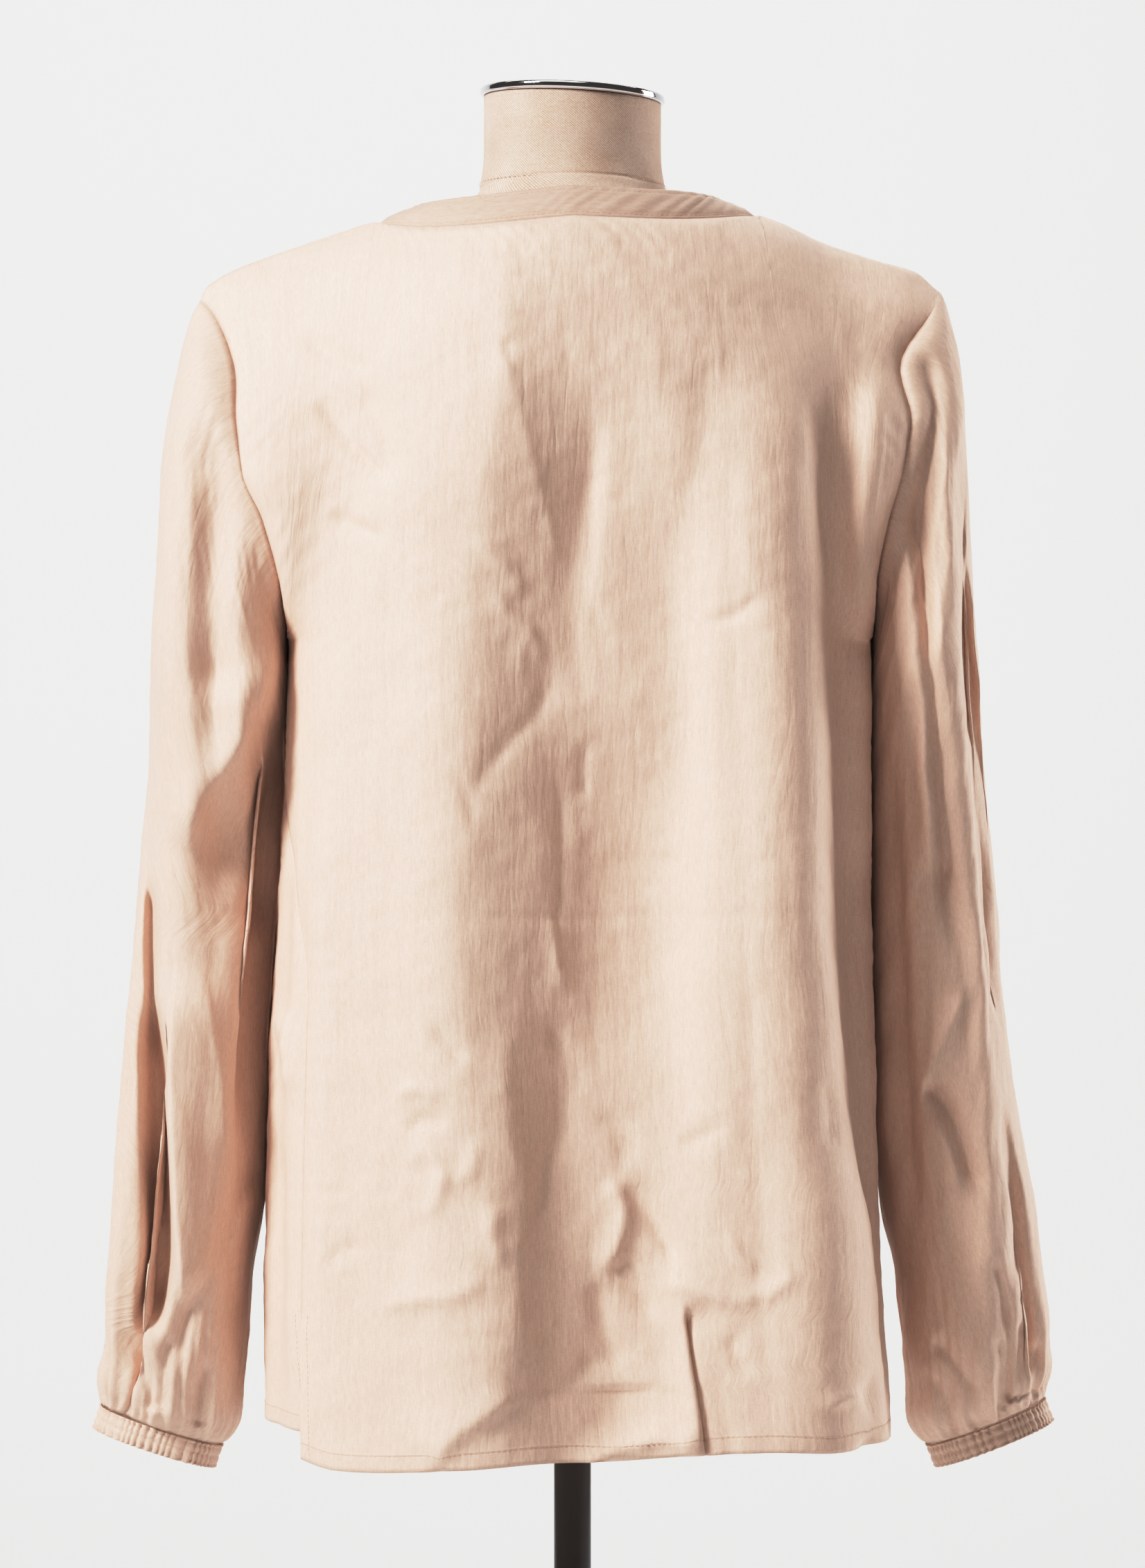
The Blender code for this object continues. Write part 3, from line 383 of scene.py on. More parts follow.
bandCut = {
    "width": 0.020, "lift": 0.0016, "sideLift": 0.0018, "rows": 18, "wall": 0.0012, "neckForward": 0.010,
    "stand": (0.0125, 0.0173), "standDrop": 0.30, "standShare": 1.45,      # inwards and up at the nape
    "bow": 0.0006, "stitchRows": (0.11, 0.89), "sinkRows": (0.10, 0.90), "sink": 0.0004, "sinkReach": 0.07,
    "pucker": 0.00028, "slowPucker": 0.00022, "nape": -0.012, "napeReach": 0.050, "napeGain": 1.6, "seamShare": 0.9,
}


# the neckband: rings from the neckline in to its free edge, round the neck and the V
def bandGrid(back, front):
    first, last = cut["shoulderColumns"], cut["shoulderColumns"] + cut["neckColumns"]
    seam = np.concatenate([back[0, first : last + 1], front[0, first + 1 : last][::-1]])
    fractions, free = neckFractions(), []
    for face, shares in (("back", fractions), ("front", fractions[1:-1][::-1])):
        start = seam[: len(fractions)] if face == "back" else seam[len(fractions) :]
        turn = np.arcsin(np.clip(shares, -1, 1)) * 2 / math.pi
        handles = columnHandles(neckAcross(shares, bandCut["width"]), face, cut["sections"])
        flat = columnPoint(handles, neckStart(handles, face, bandCut["width"]))
        flat[:, 2] += bandCut["lift"] + bandCut["sideLift"] * smooth(2 * np.abs(turn) - 1)
        if face == "back":
            inwards = unit(point(0 * turn, bandCut["neckForward"], 0) - start * (1, 1, 0))
            (inward, upward), drop = bandCut["stand"], 1 - bandCut["standDrop"] * turn**2
            raised = start + inwards * inward + point(0 * turn, 0, upward * drop)
            flat = mix(flat, raised, smooth((1 - np.abs(turn)) * bandCut["standShare"])[:, None])
        free.append(flat)
    free = np.concatenate(free)
    q = np.linspace(0, 1, bandCut["rows"] + 1)[:, None, None]
    return mix(seam[None], free[None], q) + 4 * q * (1 - q) * np.array((0, 0, bandCut["bow"]))


# creases and drape folds as seen from behind, in millimetres:
# depth out, width towards the left and the right of the path, sharpness, fade in, fade out, path (x, z)
creases = {
    "back": [
        (-17, 34, 40, 2, 0.18, 0, [(12, 1345), (14, 1287), (18, 1253), (23, 1218), (25, 1184), (27, 1149),
         (30, 1115), (31, 1063), (31, 1011), (27, 960), (21, 908), (23, 856), (26, 805), (25, 761),
         (25, 718)]),  # middle valley
        (-13, 60, 34, 2, 0.35, 0.3, [(26, 1290), (32, 1184), (36, 1115), (38, 1063), (38, 1011), (34, 930),
         (30, 860)]),  # and wider at the waist
        (6, 60, 27, 2, 0.08, 0, [(-36, 1416), (-42, 1341), (-48, 1285), (-57, 1233), (-60, 1150), (-68, 1063),
         (-68, 1000), (-62, 940), (-52, 880), (-48, 805), (-54, 720)]),  # left crest
        (4, 44, 44, 1, 0.03, 0.25, [(-34, 1424), (-35, 1391), (-36, 1365), (-37, 1335), (-42, 1290),
         (-54, 1235)]),  # pressed line from the neck
        (17, 52, 24, 2, 0.14, 0, [(122, 1372), (117, 1340), (110, 1300), (109, 1262), (110, 1215), (112, 1170),
         (116, 1115), (116, 1063), (119, 1011), (127, 960), (133, 908), (137, 856), (142, 805), (147, 761),
         (149, 720)]),  # right crest
        (9, 40, 13, 2, 0.4, 0, [(131, 930), (137, 905), (142, 880), (145, 856), (149, 805), (152, 761),
         (154, 720)]),  # fuller towards the hem
        (-5, 26, 10, 2, 0.55, 0, [(152.8, 1341.5), (150.6, 1266.6), (152.1, 1191.7), (153.6, 1116.8), (152.1, 967),
         (156, 779.7), (158, 719.8)]),  # right hollow
        (4, 8, 8, 2, 0.1, 0.15, [(168.2, 1337.8), (161.8, 1273.4), (158.1, 1238.5), (158.8, 1122.8),
         (159.5, 1041.9)]),  # right edge
        (-4, 13, 20, 1.8, 0.2, 0.2, [(76, 1350), (74, 1313), (70, 1287), (62, 1253), (58, 1218), (50, 1184),
         (42, 1155)]),  # soft hollow
        (-3.2, 12, 8, 1.3, 0.2, 0.12, [(10, 1322), (12, 1290), (10, 1264), (6, 1224), (5, 1208), (11, 1182),
         (13, 1149)]),  # trench
        (1, 4, 8, 1.2, 0.2, 0.2, [(20, 1305), (19, 1264), (14, 1224), (13, 1208), (20, 1182),
         (22, 1150)]),  # its lip
        (1.2, 7, 5, 1.1, 0.1, 0.2, [(-38, 1343.5), (-31, 1319), (-23, 1287.6), (-14, 1250.5),
         (-3.5, 1213)]),  # line beside it
        (1.4, 5, 4, 1.2, 0.2, 0.2, [(-44, 1212), (-34, 1197), (-22, 1187), (-15, 1168)]),  # leaf
        (1.3, 5, 4, 1.2, 0.25, 0.25, [(-54, 1240), (-40, 1226), (-30, 1216), (-32, 1202)]),  # leaf
        (1, 4, 4, 1.2, 0.25, 0.25, [(-20, 1196), (-28, 1176), (-27, 1160)]),  # leaf
        (-1.7, 7, 7, 1.3, 0.2, 0.25, [(-6, 1170), (-19.3, 1144.6), (-38, 1123), (-51, 1102),
         (-55, 1084)]),  # slant valley
        (-1.2, 4, 4, 1.2, 0.3, 0.3, [(-66, 1116), (-58, 1100), (-52, 1078)]),  # slant valley
        (-2.2, 3, 3, 1.1, 0.1, 0.4, [(14, 1150), (26, 1158), (38, 1176)]),  # pinch rays
        (-1.8, 3, 3, 1.1, 0.1, 0.4, [(14, 1150), (24, 1136), (38, 1128)]),  # pinch rays
        (-3.2, 3.5, 4, 1.2, 0.2, 0.3, [(-141.6, 1317.2), (-122.1, 1292.8), (-95.1, 1264)]),  # blade pull
        (-2.6, 3.5, 4, 1.2, 0.3, 0.3, [(-133, 1256), (-118, 1246), (-96, 1237)]),  # blade pull low
        (-2.9, 8, 8, 1.6, 0.3, 0.3, [(-116.1, 1331.4), (-105.2, 1300.3), (-92.9, 1266.2)]),  # blade pull soft
        (-2.3, 5, 5, 1.3, 0.2, 0.3, [(-150, 1352), (-128, 1338), (-104, 1330)]),  # shoulder pull
        (-1.2, 2.5, 2.5, 1.2, 0.2, 0.3, [(-34.8, 1345.3), (-32.6, 1330.3)]),  # nape pinch
        (-1.5, 2.4, 2.4, 1.2, 0.2, 0.2, [(7.9, 1129.5), (7.9, 1095.1)]),  # thin line
        (-1.2, 2.4, 2.4, 1.2, 0.2, 0.2, [(-6, 1112), (-4, 1060), (-9, 1012)]),  # thin line
        (-1.7, 3.5, 3.5, 1.2, 0.3, 0.3, [(70, 1190), (86, 1197), (103, 1209)]),  # right nick
        (2.2, 14, 9, 1.3, 0.15, 0.2, [(-39.7, 981.1), (-36.6, 950), (-34.5, 913.7), (-27.7, 893), (-25.7, 877.4),
         (-28.8, 851.5), (-30.3, 825.6), (-28.8, 799.7), (-36.6, 773.8)]),  # valley's left edge
        (1.7, 4, 3, 1.2, 0.2, 0.3, [(-9.3, 1035.5), (-6.5, 1007), (-1.3, 988.8)]),  # thin ridge
        (-2.4, 9, 8, 1.3, 0.2, 0.25, [(-15.8, 983.7), (-2.4, 957.7), (-0.3, 942.2), (-5.5, 913.7), (-17.4, 882.6),
         (-25.7, 859.3)]),  # low trench
        (0.7, 3, 5, 1.2, 0.2, 0.2, [(1.8, 975.9), (-0.8, 955.2), (2.8, 916.3)]),  # its lip
        (-2.3, 4, 4, 1.2, 0.3, 0.3, [(15.3, 928), (28.2, 913.7), (26.1, 893)]),  # crumple
        (3.8, 5, 4, 1.2, 0.15, 0.25, [(18.4, 890.4), (27.7, 877.4), (26.1, 859.3), (16, 835.5)]),  # hook
        (-2.9, 4, 4, 1.2, 0.2, 0.3, [(28.2, 889.1), (45.1, 863.2), (57.2, 840.7)]),  # hook branch
        (-2.9, 4, 4, 1.2, 0.2, 0.3, [(25.6, 847.6), (35.5, 826.9), (44.3, 811.4)]),  # hook branch
        (2.6, 6, 3.5, 1.2, 0.3, 0.2, [(109, 836), (89.1, 825.1), (74.8, 827.7), (61.9, 831.8),
         (43.2, 833.9)]),  # over the hem fold
        (-7, 3.5, 8, 1.3, 0.12, 0, [(65, 826.9), (66.6, 799.7), (71.7, 773.8), (74.8, 747.9),
         (79.5, 719.4)]),  # hem fold
        (4.5, 8, 5, 1.3, 0.15, 0.2, [(71.2, 742.2), (50.2, 749.5), (36, 747.1), (15.3, 739.6),
         (1, 725.9)]),  # hem flap
        (-2.2, 6, 6, 1.4, 0.2, 0.2, [(15.3, 836), (17.9, 810.1), (22.5, 794.5),
         (20.4, 784.2)]),  # valley's right side
        (3.6, 11, 4.5, 1.3, 0.25, 0.2, [(-26.2, 779), (-39.1, 770.4), (-61.9, 753.1), (-73.9, 735)]),  # hem slant
        (-2, 7, 7, 1.4, 0.3, 0.3, [(-26.2, 777.7), (-5.5, 776.9), (10.1, 789.4), (23.6, 798.7)]),  # hem slant
        (2.6, 6, 4, 1.2, 0.25, 0.25, [(-43, 839.9), (-52.1, 833.9), (-65, 828.2), (-85.8, 825.1),
         (-107, 819.1)]),  # left wave
        (-1.7, 4, 4, 1.2, 0.3, 0.3, [(-135.5, 843.2), (-124.6, 851), (-112.2, 854.6)]),  # left wave
        (2.2, 4, 4, 1.2, 0.3, 0.3, [(-96.7, 933.9), (-82.7, 940.1), (-67.1, 933.9)]),  # left crumple
        (2.3, 5, 4, 1.2, 0.3, 0.3, [(-90.4, 897.6), (-75.9, 906.5), (-67.1, 890.9),
         (-72.3, 879.5)]),  # left crumple
        (-2.3, 4, 4, 1.2, 0.3, 0.3, [(-89.4, 913.7), (-79, 924.1), (-65, 918.9)]),  # left crumple
        (2, 4, 4, 1.2, 0.3, 0.3, [(-68.2, 900.8), (-72.8, 877.4), (-81.1, 869.7)]),  # left crumple
        (-2.2, 4, 4, 1.2, 0.3, 0.3, [(-75.4, 975.9), (-65, 962.4), (-54.2, 955.2)]),  # left crumple
        (2, 4, 4, 1.2, 0.3, 0.3, [(-52.1, 913.7), (-54.2, 898.2), (-61.4, 885.7)]),  # left crumple
        (2.6, 5, 4, 1.2, 0.25, 0.25, [(-40.7, 880.5), (-43.3, 861.9), (-37.6, 842.2)]),  # left ridge
        (-2.3, 4, 4, 1.2, 0.3, 0.3, [(55.7, 907), (69.7, 913.7), (83.1, 919.9)]),  # right crumple
        (2, 4, 4, 1.2, 0.3, 0.3, [(82.6, 864), (88.3, 848.4), (98.2, 840.7)]),  # right crumple
        (2.3, 4, 4, 1.2, 0.3, 0.3, [(97.1, 821.7), (108.5, 832.9), (119.4, 841.7)]),  # right crumple
        (-2.3, 4, 4, 1.2, 0.3, 0.3, [(90.9, 811.4), (86.2, 796.6), (98.2, 783.7)]),  # right crumple
        (-2, 4, 4, 1.2, 0.3, 0.3, [(127.2, 947.4), (130.3, 924.1), (128.2, 903.3)]),  # right crumple
        (3.2, 4, 4, 1.2, 0.25, 0.15, [(124.6, 766), (134.4, 773.3), (141.7, 764.5), (146.4, 743.8)]),  # right hem
        (-4.3, 6, 7, 1.6, 0.3, 0, [(140.8, 787.2), (145.3, 745.6), (146.1, 727.3)]),  # right hem
        (-1.6, 4, 4, 1.2, 0.2, 0, [(-72.8, 738.6), (-66.1, 724.6), (-64.5, 710.3)]),  # foot
        (-0.4, 2.2, 2.2, 1.3, 0.1, 0.1, [(-129.6, 1034), (1.5, 1032.5), (151.3, 1034)]),  # storage fold
        (-0.4, 2.2, 2.2, 1.3, 0.1, 0.3, [(-129.6, 807.1), (-47.2, 805.9), (27.7, 807.1)]),  # storage fold
        (-0.3, 2.2, 2.2, 1.3, 0.1, 0.1, [(20, 1064), (70, 1063), (120, 1062)]),  # storage fold
    ],
    "left": [
        (-11, 3.2, 4.5, 2, 0.2, 0.25, [(-236.3, 1056), (-235.6, 1028.1), (-234.9, 1000.3), (-234.9, 968.9),
         (-234.5, 944.6)]),  # top of the recess
        (-18, 7.5, 7.5, 4, 0.22, 0.15, [(-234.2, 989.8), (-233.1, 955), (-231.7, 916.7), (-230.4, 881.9),
         (-229.7, 847.1), (-233.1, 819.2), (-238.7, 793.1)]),  # recess beside the lip
        (-3, 2.5, 4, 1.3, 0.1, 0.2, [(-235.6, 1191.8), (-237.3, 1143.1), (-238.7, 1097.8), (-238, 1056),
         (-236.6, 1028.1)]),  # lip line
        (13, 4, 38, 1.4, 0.2, 0.15, [(-230.4, 1007.2), (-225.8, 951.5), (-221.6, 906.3), (-219.2, 868),
         (-216.4, 836.6), (-215, 808.8)]),  # main crest
        (-10, 24, 14, 2, 0.2, 0.2, [(-167, 1049), (-170.5, 1000.3), (-173.2, 951.5), (-177.4, 899.3), (-180.2, 854),
         (-182.3, 812.2)]),  # inner fall
        (-17, 19, 17, 1.8, 0.14, 0.2, [(-146, 1150), (-157, 1122), (-170, 1100), (-181, 1080), (-183, 1058),
         (-177, 1037), (-168, 1011)]),  # elbow hollow
        (8, 14, 9, 1.6, 0.2, 0.2, [(-162.8, 1188.3), (-170.5, 1157), (-181.6, 1129.1), (-198.3, 1106.1),
         (-208.8, 1083.9), (-210.2, 1063)]),  # above the elbow
        (-7, 16, 16, 2, 0.2, 0.15, [(-213.9, 1309.1), (-208.5, 1288.3), (-200, 1266.1), (-199.3, 1231.5),
         (-200.8, 1205.8), (-196.6, 1180.1), (-191.6, 1145.9)]),  # upper hollow
        (3, 9, 8, 1.8, 0.2, 0.2, [(-159, 1201.6), (-160.5, 1171.6), (-163.9, 1145.9),
         (-170.9, 1113.3)]),  # inner ridge
        (2.4, 7, 4, 1.2, 0.2, 0.2, [(-203.9, 1003.8), (-199, 972.4), (-194.1, 944.6), (-191.7, 909.7),
         (-193.4, 891.6)]),  # long crease
        (-4.5, 6, 6, 1.3, 0.15, 0.2, [(-170.5, 895.1), (-183, 879.1), (-191.4, 861.7), (-199, 834.9),
         (-211.5, 815.7), (-218.5, 791.4), (-219.9, 772.2)]),  # slant crease
        (2.5, 4, 5, 1.2, 0.2, 0.3, [(-168.4, 883.3), (-179.5, 870.7), (-186.5, 855.8),
         (-193.4, 835.9)]),  # slant light
        (-3, 4, 4, 1.3, 0.2, 0.05, [(-248.5, 801.8), (-240.8, 779.2), (-232.4, 755.8)]),  # wrist gather
        (-3, 4, 4, 1.3, 0.2, 0.05, [(-222, 800.1), (-227.6, 780.9), (-230.4, 755.8)]),  # wrist gather
        (-2.5, 3.5, 3.5, 1.3, 0.25, 0.05, [(-201.8, 784.4), (-208.1, 767), (-210.2, 746.1)]),  # wrist gather
        (-2.6, 4, 5, 1.3, 0.15, 0.3, [(-204.4, 1371), (-198, 1359), (-193.4, 1349), (-188.4, 1335)]),  # cap gather
        (-1.8, 3, 4, 1.3, 0.15, 0.3, [(-211, 1369), (-209, 1358), (-206.5, 1346)]),  # cap gather
        (-1.4, 3, 3, 1.3, 0.15, 0.3, [(-216.5, 1366), (-215.5, 1356), (-213.5, 1346)]),  # cap gather
    ],
    "right": [
        (-8, 10, 13, 2, 0.15, 0.4, [(194, 1356), (196, 1335), (197, 1315), (196, 1292), (194, 1268), (193, 1246),
         (194, 1220), (193, 1190)]),  # upper hollow
        (-7, 7, 3, 1.4, 0.12, 0.12, [(218, 1290), (217.5, 1249.9), (217.5, 1222.3), (220, 1189.7), (222.7, 1152.1),
         (227.8, 1127), (233.3, 1094.5), (235.3, 1064.4)]),  # outer pleat
        (2.6, 3, 5, 1.4, 0.15, 0.15, [(220.2, 1259.9), (220.7, 1222.3), (224.2, 1189.7), (227.3, 1154.6),
         (232.3, 1124.5), (236.3, 1089.4)]),  # strip
        (4, 9, 8, 1.5, 0.3, 0.1, [(202.9, 1237.4), (202.9, 1194.7), (196.7, 1167.2), (195.4, 1139.6),
         (195.2, 1114.5), (199.7, 1079.4), (202.2, 1051.8)]),  # middle ridge
        (-3, 6, 6, 1.6, 0.2, 0.2, [(187.1, 1169.7), (189.7, 1142.1), (188.1, 1109.5),
         (187.1, 1069.4)]),  # inner line
        (3.5, 8, 6, 1.3, 0.2, 0.15, [(219.7, 994.9), (205.7, 966.5), (196.7, 946.5),
         (189.7, 934.9)]),  # elbow ridge
        (-5.5, 5, 7, 1.3, 0.12, 0.25, [(193.2, 939.4), (200.7, 933.9), (211.7, 915.9), (221.7, 888.3),
         (229.3, 871.3)]),  # elbow crease
        (2.2, 6, 5, 1.3, 0.25, 0.25, [(200.2, 923.4), (208.2, 903.3), (214.2, 883.3)]),  # elbow light
        (4, 12, 16, 1.6, 0.15, 0.15, [(233.3, 1056.3), (232.3, 1008.6), (231, 958.5), (230.3, 920.9),
         (231.3, 873.3), (233.8, 838.2), (240.8, 805.6)]),  # long edge
        (-4.5, 3.5, 5, 1.3, 0.15, 0.12, [(239.3, 929.7), (243.3, 898.3), (246.1, 868.2), (247.3, 843.2),
         (252.3, 820.6), (255.3, 793), (256.1, 765.5)]),  # long fold
        (-4.5, 3.5, 4, 1.2, 0.15, 0.05, [(233, 845.7), (241.8, 806.8), (243.8, 783), (243.3, 759.2)]),  # wrist fold
        (-3, 3, 3, 1.2, 0.2, 0.05, [(236.8, 799.3), (239.3, 778), (239.8, 755.4)]),  # wrist fold
        (-3.2, 3, 3, 1.2, 0.2, 0.05, [(249.8, 808.1), (250.8, 783), (249.8, 760.4)]),  # wrist fold
        (-2.6, 3, 3, 1.2, 0.2, 0.05, [(260.6, 793), (261.4, 775.5), (259.3, 760.4)]),  # wrist fold
        (-4, 4, 6, 1.3, 0.15, 0.05, [(198.2, 795.5), (210.5, 785.5), (220.5, 771.7), (226.3, 757.9),
         (228.3, 740.9)]),  # wrist curve
        (-2.6, 4, 4, 1.3, 0.2, 0.05, [(195.7, 778), (206.2, 765.5), (213.2, 750.4), (214.7, 735.4)]),  # wrist curve
        (-2, 4, 4, 1.3, 0.15, 0.3, [(199, 1380), (194, 1366), (188, 1352)]),  # cap gather
        (-1.6, 3, 3, 1.3, 0.15, 0.3, [(208, 1372), (206, 1358), (203, 1344)]),  # cap gather
    ],
    "front": [
        (-7, 30, 30, 2, 0.2, 0, [(0, 1290), (-4, 1180), (6, 1000), (-2, 730)]),  # middle valley
        (6, 34, 24, 2, 0.1, 0, [(70, 1300), (74, 1180), (66, 1000), (72, 730)]),  # crest under one breast
        (6, 24, 32, 2, 0.1, 0, [(-72, 1290), (-68, 1180), (-76, 1000), (-70, 730)]),  # and the other
        (-5, 18, 18, 2, 0.2, 0, [(112, 1180), (118, 1000), (110, 735)]),
        (-5, 18, 18, 2, 0.2, 0, [(-116, 1170), (-112, 990), (-120, 735)]),
        (-3, 7, 8, 1.6, 0.25, 0.3, [(96, 1290), (60, 1250), (30, 1216)]),  # pulls from the armholes
        (-3, 8, 7, 1.6, 0.25, 0.3, [(-100, 1284), (-66, 1240), (-34, 1206)]),
        (-2.5, 6, 6, 1.6, 0.3, 0.3, [(128, 1232), (96, 1200), (70, 1160)]),
        (-2.5, 6, 6, 1.6, 0.3, 0.3, [(-126, 1226), (-92, 1196), (-70, 1150)]),
        (3, 7, 6, 1.6, 0.25, 0.3, [(20, 1180), (34, 1100), (24, 1010)]),
        (-3, 7, 7, 1.6, 0.25, 0.3, [(-20, 1120), (-36, 1040), (-22, 960)]),
        (-2, 6, 6, 1.6, 0.3, 0.3, [(50, 930), (86, 905)]),
        (-2, 6, 6, 1.6, 0.3, 0.3, [(-60, 900), (-90, 876)]),
        (-3, 7, 7, 1.6, 0.25, 0.3, [(30, 880), (52, 830), (46, 780)]),
        (-2, 7, 7, 1.8, 0.3, 0.3, [(-30, 830), (-70, 812), (-100, 820)]),
        (-4, 7, 9, 1.6, 0.22, 0, [(-38, 830), (-30, 780), (-36, 738)]),
    ],
    "strip": [
        (4, 5, 6, 1.6, 0.25, 0.3, [(-161.9, 983.5), (-155.6, 954), (-153.3, 928)]),  # beside the left seam
        (-3, 5, 6, 1.7, 0.2, 0, [(-168, 930), (-166, 850), (-168, 745)]),
    ],
}


# the drape: clearance kept over the form, the dip and puckers of a seam, the slight unevenness of the cloth
drape = {
    "wall": 0.0008, "margin": 0.0008, "seamDip": 0.0010, "seamReach": 0.0045, "pucker": 0.0003, "puckerReach": 0.012,
    "puckerGain": 2.2, "quiet": 0.020, "ventTop": 0.815, "ventReach": 0.01,
    # smallest and largest wave, depth
    "ripples": ((0.030, 0.085, 0.00035), (0.010, 0.022, 0.00012)), "rippleWaves": 14, "rippleShare": 2.6,
    "broad": 1.05, "fine": 1.4, "fineWidth": 17,        # gains of folds and of creases narrower than this in mm
    "deepest": 0.045, "rayAbove": 0.004, "leastRoom": 0.0002,
    "hiddenShare": 0.8, "hiddenRise": 0.018,        # the sleeves' front sides have the other sleeve's creases
}


# smooth curve through a few points, as many steps as it needs
def curveThrough(path, steps=10):
    path = np.asarray(path, float)
    if len(path) == 2:
        return mix(path[:1], path[1:], np.linspace(0, 1, steps + 1)[:, None])
    ends = np.concatenate([2 * path[:1] - path[1:2], path, 2 * path[-1:] - path[-2:-1]])
    t = np.linspace(0, 1, steps, endpoint=False)[:, None]
    parts = []
    for a, b, c, d in zip(ends, ends[1:], ends[2:], ends[3:]):
        parts.append(b + 0.5 * t * (c - a + t * (2 * a - 5 * b + 4 * c - d + t * (3 * (b - c) + d - a))))
    return np.concatenate(parts + [path[-1:]])


# how far the creases push the cloth out at x and z; paths and sizes are in millimetres
def creaseDepth(rows, x, z):
    total, x, z = np.zeros((2, *x.shape)), x * 1000, z * 1000
    for depth, left, right, sharp, fadeIn, fadeOut, path in rows:
        curve, reach = curveThrough(path), 2.6 * max(left, right)
        low, high = curve.min(axis=0) - reach, curve.max(axis=0) + reach
        near = (x > low[0]) & (x < high[0]) & (z > low[1]) & (z < high[1])
        if not near.any():
            continue
        start, run = curve[:-1], np.diff(curve, axis=0)
        length = np.linalg.norm(run, axis=1)
        before = np.concatenate([[0], np.cumsum(length)])
        px, pz = x[near][:, None] - start[:, 0], z[near][:, None] - start[:, 1]
        along = np.clip((px * run[:, 0] + pz * run[:, 1]) / length**2, 0, 1)
        offX, offZ = px - along * run[:, 0], pz - along * run[:, 1]
        away = np.hypot(offX, offZ)
        best = away.argmin(axis=1)
        pick = np.arange(len(best)), best
        side = run[best, 0] * offZ[pick] - run[best, 1] * offX[pick]
        share = (before[best] + along[pick] * length[best]) / before[-1]
        width = np.where(side < 0, left, right)
        shape = np.exp(-((away[pick] / width) ** sharp))
        if fadeIn:
            shape = shape * smooth(share / fadeIn)
        if fadeOut:
            shape = shape * smooth((1 - share) / fadeOut)
        fine = int(max(left, right) < drape["fineWidth"])
        total[fine][near] += depth / 1000 * shape * (drape["fine"] if fine else drape["broad"])
    return total        # broad folds, fine creases


# outward normals of a grid of points; wraps round where the rows are rings
def gridNormals(grid, closed):
    if closed:
        across = np.roll(grid, -1, axis=1) - np.roll(grid, 1, axis=1)
    else:
        across = np.gradient(grid, axis=1)
    normals = unit(np.cross(across, np.gradient(grid, axis=0)))
    middle = grid.mean(axis=(0, 1)) * (0, 0, 1) if not closed else grid.mean(axis=1, keepdims=True)
    return normals if ((grid - middle) * normals).sum() > 0 else -normals


# one normal for the points that two pieces share along a seam
def joinNormals(grids, normals):
    spots = np.concatenate([grid.reshape(-1, 3) for grid in grids.values()])
    loose = np.concatenate([normals[name].reshape(-1, 3) for name in grids])
    _, same = np.unique(np.round(spots * 2e5).astype(np.int64), axis=0, return_inverse=True)
    same = same.ravel()
    joined = np.zeros((same.max() + 1, 3))
    np.add.at(joined, same, loose)
    joined, start = unit(joined)[same], 0
    for name, grid in grids.items():
        count = grid.shape[0] * grid.shape[1]
        normals[name] = joined[start : start + count].reshape(grid.shape)
        start += count


# distance run along an axis of a grid, from its first row or column
def run(grid, axis):
    steps = np.linalg.norm(np.diff(grid, axis=axis), axis=2)
    first = np.zeros((1, grid.shape[1])) if axis == 0 else np.zeros((grid.shape[0], 1))
    return np.concatenate([first, np.cumsum(steps, axis=axis)], axis=axis)


# the slight unevenness that worn cloth has everywhere, the same at every run
def ripple(u, v, seed):
    pick = np.random.default_rng(seed)
    total = np.zeros(u.shape)
    for low, high, depth in drape["ripples"]:
        for _ in range(drape["rippleWaves"]):
            size, lean = pick.uniform(low, high), pick.normal(0, 0.8)
            phase = 2 * math.pi / size * (u * math.cos(lean) + v * math.sin(lean))
            total += depth / drape["rippleShare"] * np.sin(phase + pick.uniform(0, 6.3))
    return total


# how free the cloth is to fall inwards before it meets the form
def clearance(grid, normals, tree):
    above, deepest = drape["rayAbove"], drape["deepest"]
    free = np.full(grid.shape[:2], deepest)
    for r in range(grid.shape[0]):
        for c in range(grid.shape[1]):
            spot, out = grid[r, c], normals[r, c]
            hit = tree.ray_cast(Vector(spot + out * above), Vector(-out), deepest + above)
            if hit[0] is not None:
                free[r, c] = hit[3] - above
    return np.clip(free - drape["wall"] - drape["margin"], drape["leastRoom"], None)


def settle(push, free):
    return np.where(push < 0, -free * (1 - np.exp(np.minimum(push, 0) / free)), push)


def seamShape(distance, along, seed):
    dip = -drape["seamDip"] * np.exp(-((distance / drape["seamReach"]) ** 2))
    wave = np.sin(along / 0.0017 + 2.1 * np.sin(along / 0.013 + seed)) * np.sin(along / 0.021 + 2 * seed)
    away = distance / drape["puckerReach"]
    return dip + drape["pucker"] * wave * drape["puckerGain"] * away * np.exp(-away)


def placePiece(name, mesh, material):
    mesh.materials.append(material)
    mesh.shade_smooth()
    piece = bpy.data.objects.new(name, mesh)
    bpy.context.scene.collection.objects.link(piece)
    return piece


